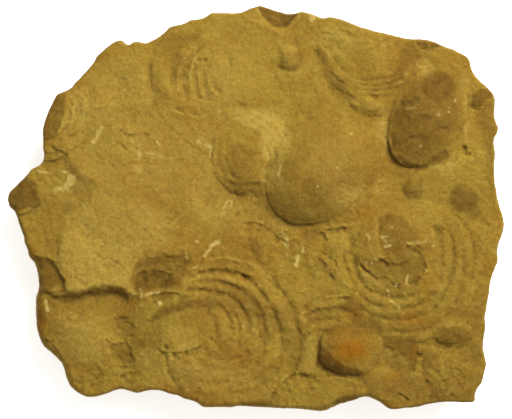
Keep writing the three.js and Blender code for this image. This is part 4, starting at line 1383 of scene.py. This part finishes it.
def roughness_of_ground(x, y):
    """How broken the ground is, from 0 to 1."""
    rough = np.zeros(x.shape)
    uneven = 0.35 * fractal(x, y, 5, 57, 2)
    for at, reach, roughest in ROUGH_GROUND:
        away = reach_share(x, y, at, reach) + uneven
        rough = np.maximum(rough, roughest * (1 - ease(0.4, 1.2, away)))
    return rough


def smooth_max(a, b, blend):
    """The higher of two heights, rounded where they cross."""
    near = np.clip(0.5 + 0.5 * (b - a) / blend, 0, 1)
    return a + (b - a) * near + blend * near * (1 - near)


# The grid that the relief is worked out on

class Face:
    """The relief and the colour marks of the slab's face, on a fine grid."""

    # The grid's spacing in millimetres
    step = 0.2

    def __init__(self):
        low = np.array(SLAB_LOW[:2]) / MM - 2
        high = np.array(SLAB_HIGH[:2]) / MM + 2
        self.low = low
        xs = np.arange(low[0], high[0], self.step)
        ys = np.arange(low[1], high[1], self.step)
        self.x, self.y = np.meshgrid(xs, ys)
        self.height = slab_relief(self.x, self.y)
        self.marks = colour_marks(self.x, self.y)
        # The hollow mark is painted shade with some dirt, and the crest mark is a painted highlight
        self.marks["hollow"], self.marks["crest_highlight"] = self.hollows_and_crests()
        sharpness = np.abs(self.height - self.blurred(self.height, NEAR_CELLS))
        sharpness += 0.2 * self.change("calcite") + 0.06 * self.change("brown")
        self.detail = self.blurred(sharpness, 1)

    def blurred(self, field, reach):
        """A field averaged over reach cells each way, three times."""
        for _ in range(3):
            for axis in (0, 1):
                ends = [(reach + 1, reach) if a == axis else (0, 0) for a in (0, 1)]
                padded = np.pad(field, ends, "edge")
                total = np.cumsum(padded, axis=axis)
                span = 2 * reach + 1
                upper = np.take(total, range(span, total.shape[axis]), axis=axis)
                lower = np.take(total, range(0, total.shape[axis] - span), axis=axis)
                field = (upper - lower) / span
        return field

    def hollows_and_crests(self):
        """How far each place lies below and above the ground round it, both from 0 to 1."""
        fine = (self.blurred(self.height, NEAR_CELLS) - self.height) / FINE_DEPTH
        wide = (self.blurred(self.height, FAR_CELLS) - self.height) / WIDE_DEPTH
        hollow = 0.5 * np.clip(fine, 0, 1) + 0.5 * np.clip(wide, 0, 1)
        return hollow, 0.5 * np.clip(-fine, 0, 1) + 0.5 * np.clip(-wide, 0, 1)

    def change(self, mark):
        """How fast a mark changes."""
        down, across = np.gradient(self.marks[mark])
        return np.hypot(down, across)

    def at(self, field, x, y):
        """A field's value at places between the grid's points."""
        column = np.clip((x - self.low[0]) / self.step, 0, self.x.shape[1] - 1.001)
        row = np.clip((y - self.low[1]) / self.step, 0, self.x.shape[0] - 1.001)
        i, j = row.astype(int), column.astype(int)
        down, across = row - i, column - j
        upper = field[i, j] * (1 - across) + field[i, j + 1] * across
        lower = field[i + 1, j] * (1 - across) + field[i + 1, j + 1] * across
        return upper * (1 - down) + lower * down


def colour_marks(x, y):
    """Where the stone is brown, pale, white with calcite, or rusty, from 0 to 1. Some brown and pale marks
    on shells and on the left edge are painted shade and painted highlight.
    """
    warp_x = x + 0.6 * fractal(x, y, 4, 91)
    warp_y = y + 0.6 * fractal(x, y, 4, 95)
    patchy = fractal(x, y, 2.6, 99, 3)
    brown = np.zeros(x.shape)
    pale = np.zeros(x.shape)
    for marks, areas in ((brown, BROWN_AREAS), (pale, PALE_AREAS)):
        for strength, soft, corners in areas:
            part = window(x, y, place(corners), soft + 3)
            bend = min(1, 1.3 * soft)
            near_x = x[part] + bend * (warp_x - x)[part]
            near_y = y[part] + bend * (warp_y - y)[part]
            depth_in = inside(near_x, near_y, corners) + 0.4 * min(1, soft) * patchy[part]
            share = ease(-soft, soft, depth_in)
            marks[part] = np.maximum(marks[part], strength * share)
    brown = np.maximum(brown, oval_marks(warp_x, warp_y, BROWN_OVALS, 0.6, 1.15))
    brown *= np.clip(0.95 + 0.25 * patchy, 0, 1.1)
    pale = np.maximum(pale, oval_marks(warp_x, warp_y, PALE_OVALS, 0.3, 1.2))
    rust = oval_marks(warp_x, warp_y, RUST_OVALS, 0.2, 1.1)
    return {"brown": brown, "pale": pale, "rust": rust, "calcite": calcite_marks(x, y)}


def calcite_marks(x, y):
    """Where there is white calcite, in broken lines and dots."""
    calcite = np.zeros(x.shape)
    thin_x = x + 0.3 * fractal(x, y, 1.6, 101, 2)
    thin_y = y + 0.3 * fractal(x, y, 1.6, 105, 2)
    for width, strength, route in CALCITE_LINES:
        curve = smooth_route(route)
        part = window(x, y, curve, 2 * width + 0.6)
        right, along = beside_curve(thin_x[part], thin_y[part], curve)
        share = 1 - ease(0.3, 1.3, np.abs(right) / width)
        calcite[part] = np.maximum(calcite[part], strength * share)
    for at, radius, strength in CALCITE_DOTS:
        part = window(x, y, place([at]), 2 * radius + 0.6)
        away = oval_share(thin_x[part], thin_y[part], at, (radius, radius))
        calcite[part] = np.maximum(calcite[part], strength * (1 - ease(0.4, 1.5, away)))
    return calcite * np.clip(0.9 + 0.7 * noise(x, y, 1.3, 109), 0.2, 1)


def oval_marks(x, y, ovals, full, gone):
    """The strongest of several soft-edged ovals."""
    marks = np.zeros(x.shape)
    for at, half, turn, strength in ovals:
        share = oval_share(x, y, at, half, turn)
        marks = np.maximum(marks, strength * (1 - ease(full, gone, share)))
    return marks


# The slab's mesh

def outline_loop(spacing):
    """The outline as evenly spaced points in millimetres, along a smooth curve with a broken edge."""
    corners = place(OUTLINE)
    curve = smooth_curve(np.vstack([corners[-1:], corners, corners[:2]]), 8)
    closed = np.vstack([curve, curve[:1]])
    lengths = np.concatenate([[0], np.cumsum(np.hypot(*np.diff(closed, axis=0).T))])
    count = int(lengths[-1] / spacing)
    even = np.linspace(0, lengths[-1], count, endpoint=False)
    x = np.interp(even, lengths, closed[:, 0])
    y = np.interp(even, lengths, closed[:, 1])
    out = np.hypot(x, y)
    share = 1 + 0.13 * fractal(x, y, 2.2, 111, 3) / out
    return np.stack([x * share, y * share], axis=1)


def loop_distance(x, y, loop):
    """Distance to the outline from points inside it, and below 0 outside it. Far inside it is endless."""
    nearest = np.full(x.shape, np.inf)
    within = np.zeros(x.shape, bool)
    for start, end in zip(loop, np.roll(loop, -1, axis=0)):
        near = (np.abs(x - start[0]) < EDGE_REACH) & (np.abs(y - start[1]) < EDGE_REACH)
        nearest[near] = np.minimum(nearest[near], segment_distance(x[near], y[near], start, end))
        if start[1] != end[1]:
            crosses = (start[1] > y) != (end[1] > y)
            within ^= crosses & (x < (end[0] - start[0]) * (y - start[1]) / (end[1] - start[1]) + start[0])
    return np.where(within, nearest, -nearest)


def rounded_edge(x, y, distance):
    """How far the top edge has fallen at a distance from the outline."""
    width = np.full(x.shape, EDGE_WIDTH)
    fall = np.full(x.shape, EDGE_FALL)
    for at, reach, wider, deeper in WIDER_EDGES:
        near = np.exp(-reach_share(x, y, at, reach) ** 2)
        width += wider * near
        fall += deeper * near
    width *= 1 + 0.45 * fractal(x, y, 7, 121, 3)
    fall *= 1 + 0.3 * fractal(x, y, 9, 131, 3)
    share = np.clip(1 - distance / width, 0, 1)
    return fall * (1 - np.sqrt(1 - share**2 * 0.995))


def face_points(face, loop, spacing):
    """Points over the face, twice as close where the relief is fine, and their distance to the edge."""
    fine = spacing / 2
    low, high = loop.min(axis=0), loop.max(axis=0)
    rows = np.arange(int((high[1] - low[1]) / (fine * ROW_HEIGHT)) + 1)
    columns = np.arange(int((high[0] - low[0]) / fine) + 1)
    column, row = np.meshgrid(columns, rows)
    x = low[0] + (column + 0.5 * (row % 2)) * fine
    y = low[1] + row * fine * ROW_HEIGHT
    coarse = (row % 2 == 0) & ((column + row // 2) % 2 == 0)
    chance = np.random.default_rng(141)
    x = x + chance.uniform(-0.15, 0.15, x.shape) * fine
    y = y + chance.uniform(-0.15, 0.15, x.shape) * fine
    x, y, coarse = x.ravel(), y.ravel(), coarse.ravel()
    distance = loop_distance(x, y, loop)
    kept = distance > spacing * 0.6
    x, y, coarse, distance = x[kept], y[kept], coarse[kept], distance[kept]
    detail = face.at(face.detail, x, y) + 0.04 * (1 - ease(0.5, 2.5, distance))
    extra = MOST_FACE_POINTS - coarse.sum()
    least = np.partition(detail[~coarse], -extra)[-extra]
    wanted = coarse | (detail > least)
    return np.stack([x[wanted], y[wanted]], axis=1), distance[wanted]


def triangulate(points, loop):
    """Joins points inside a loop with triangles. The loop's points come first."""
    spots = [Vector(p) for p in np.vstack([loop, points])]
    edges = [(i, (i + 1) % len(loop)) for i in range(len(loop))]
    result = delaunay_2d_cdt(spots, edges, [list(range(len(loop)))], 1, 1e-5)
    places, triangles, origins = result[0], result[2], result[3]
    order = np.full(len(places), -1)
    for new, old in enumerate(origins):
        order[new] = old[0]
    if len(places) != len(spots) or order.min() < 0:
        raise RuntimeError("the face's points didn't join up")
    return order[np.array([tuple(t) for t in triangles])]


def around_edge(pattern, length):
    """A pattern along the outline that meets itself where the outline closes."""
    total = length[-1]
    share = ease(total - CLOSING, total, length)
    return pattern(length) * (1 - share) + pattern(length - total) * share


def wall_levels():
    """Heights of the rings of the broken side from the top down, with the number of the bed at each."""
    levels = []
    for number, joint in enumerate(BED_JOINTS):
        below = BED_JOINTS[number + 1] if number + 1 < len(BED_JOINTS) else 0
        levels += [
            (joint + JOINT_WIDTH / 2, number), (joint - JOINT_WIDTH / 2, number + 1),
            ((joint + below) / 2, number + 1),
        ]
    return levels + [(0, len(BED_JOINTS))]


def wall_inset(length, height, top, bed):
    """How far the broken side of a bed lies inside the outline at a height, in millimetres."""
    row = 50.0 * bed

    def along(pattern):
        return around_edge(pattern, length)

    def broken(kind, marks):
        return sum(
            depth * along(lambda at: kind(at, flat * height + row, size, seed))
            for depth, flat, size, seed in marks
        )

    ledge = BED_SETBACK * np.clip(0.4 + 1.3 * along(lambda at: noise(at, at * 0 + row, 11, 152)), 0, 1.3)
    free = ease(0, 0.14, 1 - height / top)
    level = np.interp(height / top, WALL_SHARES, WALL_INSETS)
    return np.maximum(level + (ledge + broken(scoop, WALL_SCOOPS) + broken(facets, WALL_FACETS)) * free, 0)


def slab_arrays(face, spacing):
    """The slab's points in millimetres, its triangles, and how earthy its sides are at each point."""
    loop = outline_loop(spacing * 1.15)
    edge = face.at(face.height, *loop.T) - rounded_edge(*loop.T, np.zeros(len(loop)))
    loop *= 1 + (BED_LEVEL - edge[:, None]) / CAMERA_HEIGHT
    points, distance = face_points(face, loop, spacing)
    triangles = triangulate(points, loop)
    flat = np.vstack([loop, points])
    distance = np.concatenate([np.zeros(len(loop)), distance])
    height = face.at(face.height, flat[:, 0], flat[:, 1])
    height -= rounded_edge(flat[:, 0], flat[:, 1], distance)
    solid = [np.column_stack([flat, height])]
    faces = [triangles]
    count = len(loop)
    length = np.concatenate([[0], np.cumsum(np.hypot(*np.diff(loop, axis=0).T))])
    top = height[:count]
    above = np.arange(count)
    total = len(flat)
    earthy = [np.zeros(total)]
    reach = int(SOFT_REACH / spacing)
    soft_loop = np.mean([np.roll(loop, shift, axis=0) for shift in range(-reach, reach + 1)], axis=0)
    wave = 0.8 * around_edge(lambda at: noise(at, at * 0, 15, 151), length)
    level_height = top
    for level, bed in wall_levels():
        level_height = np.minimum(level + wave * ease(0, 4, level), level_height - 0.1)
        level_height = np.maximum(level_height, 0)
        inset = wall_inset(length, level_height, top, bed)
        lower = ease(0, 5, top - level_height)[:, None]
        around = loop * (1 - lower) + soft_loop * lower
        share = 1 - inset / np.hypot(*around.T)
        ring = np.column_stack([around * share[:, None], level_height])
        earthy.append(np.full(count, BED_EARTH[bed]))
        below = total + np.arange(count)
        faces += wall_band(above, below)
        solid.append(ring)
        total += count
        above = below
    base = solid[-1][:, :2]
    base_points, base_distance = base_grid(base)
    under = triangulate(base_points, base)
    numbers = np.concatenate([above, total + np.arange(len(base_points))])
    faces.append(numbers[under][:, ::-1])
    lift = 0.5 * np.clip(fractal(base_points[:, 0], base_points[:, 1], 12, 161) + 0.3, 0, 1)
    lift *= ease(1, 6, base_distance)
    solid.append(np.column_stack([base_points, lift]))
    earthy.append(np.zeros(len(base_points)))
    return np.vstack(solid), np.vstack(faces), np.concatenate(earthy)


def wall_band(above, below):
    """Two triangles between each pair of points of one ring and the next below it."""
    next_above, next_below = np.roll(above, -1), np.roll(below, -1)
    return [np.column_stack([above, next_above, below]), np.column_stack([next_above, next_below, below])]


def base_grid(base):
    """Points over the underside, and their distance to its edge."""
    low, high = base.min(axis=0), base.max(axis=0)
    x, y = np.meshgrid(*[np.arange(low[axis], high[axis], BASE_SPACING) for axis in (0, 1)])
    x, y = x.ravel(), y.ravel()
    distance = loop_distance(x, y, base)
    distance = np.where(np.isinf(distance), EDGE_REACH, distance)
    kept = distance > BASE_SPACING / 2
    return np.stack([x[kept], y[kept]], axis=1), distance[kept]


def build_slab(spacing):
    """The slab as one mesh object, with its colour marks as attributes."""
    face = Face()
    points, triangles, earthy = slab_arrays(face, spacing)
    mesh = bpy.data.meshes.new("slab_with_shells")
    mesh.from_pydata(points * MM, [], triangles.tolist())
    mesh.shade_smooth()
    mesh.set_sharp_from_angle(angle=SHARP_ANGLE)
    on_face = ease(-2.5, -0.5, points[:, 2] - face.at(face.height, points[:, 0], points[:, 1]))
    for name, field in face.marks.items():
        values = face.at(field, points[:, 0], points[:, 1]) * on_face
        if name == "brown":
            values = np.maximum(values, earthy)
        layer = mesh.attributes.new(name, "FLOAT", "POINT")
        layer.data.foreach_set("value", values)
    slab = bpy.data.objects.new("slab_with_shells", mesh)
    bpy.context.scene.collection.objects.link(slab)
    return slab


# Materials

def linear(colour):
    """An sRGB hex colour such as A6833C as linear red, green, blue and alpha."""
    parts = [int(colour[i:i + 2], 16) / 255 for i in (0, 2, 4)]
    return [p / 12.92 if p <= 0.04045 else ((p + 0.055) / 1.055) ** 2.4 for p in parts] + [1.0]


def add_node(tree, kind, settings=None, links=None):
    """Adds a node with its settings, and links sockets of other nodes to its inputs."""
    node = tree.nodes.new(kind)
    for name, value in (settings or {}).items():
        if isinstance(name, str) and hasattr(node, name):
            setattr(node, name, value)
        else:
            node.inputs[name].default_value = value
    for name, source in (links or {}).items():
        tree.links.new(source, node.inputs[name])
    return node


def mix(tree, factor, first, second, blend="MIX"):
    """Mixes two colours by a factor, each a socket or a value, and returns the result."""
    node = tree.nodes.new("ShaderNodeMix")
    node.data_type = "RGBA"
    node.blend_type = blend
    for socket, value in ((0, factor), (6, first), (7, second)):
        if isinstance(value, bpy.types.NodeSocket):
            tree.links.new(value, node.inputs[socket])
        else:
            node.inputs[socket].default_value = value
    return node.outputs[2]


def ramp(tree, source, low, high, from_value=0.0, to_value=1.0):
    """Maps a socket's values between low and high to another range, clamped."""
    node = add_node(
        tree, "ShaderNodeMapRange",
        {"From Min": low, "From Max": high, "To Min": from_value, "To Max": to_value},
        {"Value": source},
    )
    return node.outputs["Result"]


def new_material(name):
    """A material that is made of nodes."""
    material = bpy.data.materials.new(name)
    material.use_nodes = True
    return material


def limestone(looks):
    """Marly limestone, split along its bedding and weathered: dry, matt and earthy, with painted shade and
    some dirt in its hollows and a painted highlight on its crests.
    """
    material = new_material("weathered_marly_limestone")
    tree = material.node_tree
    tree.nodes.clear()
    place_on = add_node(tree, "ShaderNodeTexCoord").outputs["Object"]

    def spots(size_mm, detail=3.0, rough=0.55):
        return add_node(
            tree, "ShaderNodeTexNoise",
            {"Scale": 1000 / size_mm, "Detail": detail, "Roughness": rough}, {"Vector": place_on},
        ).outputs["Fac"]

    bent = add_node(
        tree, "ShaderNodeTexNoise", {"Scale": 1000 / 1.4, "Detail": 2.0}, {"Vector": place_on},
    ).outputs["Color"]
    bent_place = add_node(
        tree, "ShaderNodeVectorMath", {"operation": "MULTIPLY_ADD", 1: (1.6 * MM,) * 3},
        {0: bent, 2: place_on},
    ).outputs["Vector"]

    def chips(size_mm, output):
        return add_node(
            tree, "ShaderNodeTexVoronoi", {"Scale": 1000 / size_mm}, {"Vector": bent_place},
        ).outputs[output]

    def mark(name):
        return add_node(tree, "ShaderNodeAttribute", {"attribute_name": name}).outputs["Fac"]

    broad = ramp(tree, spots(30), 0.36, 0.64)
    blotch = ramp(tree, spots(5, 5.0, 0.6), 0.35, 0.65)
    tint = ramp(tree, spots(3.2, 3.0), 0.35, 0.65)
    grain = ramp(tree, spots(1.1, 3.0, 0.75), 0.34, 0.66)
    sand = ramp(tree, spots(0.4, 2.0, 0.8), 0.36, 0.64)
    colour = mix(tree, broad, linear(looks.stone_dark), linear(looks.stone_light))
    colour = mix(tree, ramp(tree, blotch, 0, 1, 0.0, 0.45), colour, linear(looks.stone_earth))
    colour = mix(tree, ramp(tree, mark("pale"), 0, 1, 0, 0.75), colour, linear(looks.stone_pale))
    # A painted highlight makes the crests paler
    colour = mix(tree, ramp(tree, mark("crest_highlight"), 0.1, 1, 0, 0.5), colour, linear(looks.stone_pale))
    colour = mix(tree, mark("brown"), colour, linear(looks.shell_brown))
    colour = mix(tree, mark("rust"), colour, linear(looks.rust))
    colour = mix(tree, tint, colour, linear(looks.warm_tint), "MULTIPLY")
    for specks, darkest in ((grain, 0.42), (sand, 0.4), (chips(1.3, "Color"), 0.14)):
        darkness = ramp(tree, specks, 0, 1, darkest, 0)
        colour = mix(tree, darkness, colour, linear(looks.grain_dark), "MULTIPLY")
    # Painted shade, with some dirt, darkens the hollows
    colour = mix(tree, ramp(tree, mark("hollow"), 0.15, 1, 0, 0.45), colour, linear(looks.hollow_shade_and_dirt))
    colour = mix(tree, ramp(tree, mark("calcite"), 0, 1, 0, 0.8), colour, linear(looks.calcite))
    grains = add_node(
        tree, "ShaderNodeMath", {"operation": "ADD"},
        {0: ramp(tree, spots(0.8, 2.0, 0.6), 0, 1, 0, 0.3), 1: ramp(tree, spots(1.6, 2.0), 0, 1, 0, 0.5)},
    ).outputs[0]
    relief = add_node(
        tree, "ShaderNodeMath", {"operation": "ADD"},
        {0: grains, 1: ramp(tree, chips(1.7, "Distance"), 0, 1, 0, 0.45)},
    ).outputs[0]
    bump = add_node(
        tree, "ShaderNodeBump", {"Strength": 0.8, "Distance": 0.36 * MM}, {"Height": relief},
    ).outputs["Normal"]
    shader = add_node(
        tree, "ShaderNodeBsdfPrincipled", {"Roughness": 0.93, "IOR": 1.5, "Specular IOR Level": 0.1},
        {"Base Color": colour, "Normal": bump},
    )
    add_node(tree, "ShaderNodeOutputMaterial", None, {"Surface": shader.outputs["BSDF"]})
    return material


def studio_floor(looks):
    """Pale matt board with light behind it, which keeps the shadow on it faint."""
    material = new_material("pale_matt_board")
    shader = material.node_tree.nodes["Principled BSDF"]
    shader.inputs["Base Color"].default_value = linear(looks.floor)
    shader.inputs["Roughness"].default_value = 0.9
    shader.inputs["Emission Color"].default_value = linear(looks.floor)
    shader.inputs["Emission Strength"].default_value = 0.7
    return material


# Properties, operators and panel

def hex_colour(name, description, default):
    """A property that holds an sRGB hex colour."""
    return bpy.props.StringProperty(name=name, description=description, default=default)


class FossilLooks(bpy.types.PropertyGroup):
    """Colours of the stone and of the studio, as sRGB hex values."""

    stone_light: hex_colour("Light stone", "Sunlit ochre of the stone", "998336")
    stone_dark: hex_colour("Dark stone", "Browner ochre of the stone", "8F712C")
    stone_earth: hex_colour("Earth", "Earthy blotches", "7F6125")
    # The pale stone is also the colour of the painted highlight on the crests
    stone_pale: hex_colour("Pale stone", "Paler ground", "AF994C")
    # The brown shell colour is also used for painted shade on some shells and along the left edge
    shell_brown: hex_colour("Brown shell", "Brown shell and stain", "654C1D")
    rust: hex_colour("Rust", "Orange iron stain", "885908")
    calcite: hex_colour("Calcite", "White calcite", "BAA55F")
    warm_tint: hex_colour("Warm tint", "Tint of the redder patches", "FFF7EA")
    grain_dark: hex_colour("Dark grain", "Tint of the dark grains", "B4A43C")
    # Colour of the painted shade, with some dirt, in the hollows
    hollow_shade_and_dirt: hex_colour("Shade and dirt", "Painted shade and dirt in hollows", "4A3714")
    floor: hex_colour("Floor", "Studio floor", "F4F3F1")


class FossilSizes(bpy.types.PropertyGroup):
    """Sizes of the mesh and of the studio."""

    spacing: bpy.props.FloatProperty(
        name="Point spacing", description="Distance between the mesh's points, in millimetres",
        default=0.66, min=0.3, max=3.0,
    )
    key_height: bpy.props.FloatProperty(
        name="Key height", description="Height of the key light above the floor",
        default=0.7, unit="LENGTH",
    )


class FOSSIL_OT_slab(bpy.types.Operator):
    """Make the limestone slab with its shells"""

    bl_idname = "fossil.slab"
    bl_label = "Limestone Slab"

    def execute(self, context):
        slab = build_slab(context.scene.fossil_sizes.spacing)
        slab.data.materials.append(limestone(context.scene.fossil_looks))
        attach(slab, "root")
        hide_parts("fossil_slab")
        return {"FINISHED"}


class FOSSIL_OT_stage(bpy.types.Operator):
    """Make the floor, the lights and the camera"""

    bl_idname = "fossil.stage"
    bl_label = "Stage"

    def execute(self, context):
        make_floor(context.scene.fossil_looks)
        make_lights(context.scene.fossil_sizes)
        make_camera()
        return {"FINISHED"}


def make_floor(looks):
    """A wide floor that the slab lies on."""
    mesh = bpy.data.meshes.new("studio_floor")
    far = 2.0
    mesh.from_pydata([(-far, -far, 0), (far, -far, 0), (far, far, 0), (-far, far, 0)], [], [(0, 1, 2, 3)])
    floor = bpy.data.objects.new("studio_floor", mesh)
    floor.data.materials.append(studio_floor(looks))
    bpy.context.scene.collection.objects.link(floor)


def add_lamp(name, position, size, energy, colour):
    """A square soft lamp that points at the slab."""
    data = bpy.data.lights.new(name, "AREA")
    data.shape = "SQUARE"
    data.size = size
    data.energy = energy
    data.color = colour
    lamp = bpy.data.objects.new(name, data)
    lamp.location = position
    lamp.rotation_euler = (-Vector(position)).to_track_quat("-Z", "Y").to_euler()
    bpy.context.scene.collection.objects.link(lamp)


def make_lights(sizes):
    """A soft lamp beyond the slab's top edge, and an even pale surround."""
    lamp_at = (LIGHT_FROM[0] * LAMP_AWAY, LIGHT_FROM[1] * LAMP_AWAY, sizes.key_height)
    add_lamp("key_lamp", lamp_at, LAMP_WIDTH, LAMP_POWER, LAMP_COLOUR)
    world = bpy.data.worlds.new("pale_surround")
    world.use_nodes = True
    background = world.node_tree.nodes["Background"]
    background.inputs["Color"].default_value = SURROUND_COLOUR
    background.inputs["Strength"].default_value = SURROUND_STRENGTH
    bpy.context.scene.world = world
    bpy.context.scene.view_settings.view_transform = "Standard"


def make_camera():
    """A long lens straight above the slab, with the photograph's framing."""
    data = bpy.data.cameras.new("camera")
    data.lens = LENS
    data.sensor_width = SENSOR
    middle = (np.array(PHOTO_SIZE) / 2 - MIDDLE) * MM_PER_PIXEL * MM
    camera = bpy.data.objects.new("camera", data)
    camera.location = (middle[0], -middle[1], (BED_LEVEL + CAMERA_HEIGHT) * MM)
    data.clip_end = 10
    bpy.context.scene.collection.objects.link(camera)
    bpy.context.scene.camera = camera


class FOSSIL_PT_panel(bpy.types.Panel):
    """Lists what the add-on makes"""

    bl_idname = "FOSSIL_PT_panel"
    bl_label = "Fossil Slab"
    bl_space_type = "VIEW_3D"
    bl_region_type = "UI"
    bl_category = "Fossil"

    def draw(self, context):
        for operator in (FOSSIL_OT_slab, FOSSIL_OT_stage):
            self.layout.operator(operator.bl_idname)
        for group in (context.scene.fossil_sizes, context.scene.fossil_looks):
            for name in group.bl_rna.properties.keys():
                if name not in ("rna_type", "name"):
                    self.layout.prop(group, name)


CLASSES = (FossilLooks, FossilSizes, FOSSIL_OT_slab, FOSSIL_OT_stage, FOSSIL_PT_panel)


def register():
    for cls in CLASSES:
        bpy.utils.register_class(cls)
    bpy.types.Scene.fossil_looks = bpy.props.PointerProperty(type=FossilLooks)
    bpy.types.Scene.fossil_sizes = bpy.props.PointerProperty(type=FossilSizes)


def unregister():
    del bpy.types.Scene.fossil_sizes
    del bpy.types.Scene.fossil_looks
    for cls in reversed(CLASSES):
        bpy.utils.unregister_class(cls)


def main():
    register()
    bpy.ops.fossil.slab()
    bpy.ops.fossil.stage()


if __name__ == "__main__":
    main()
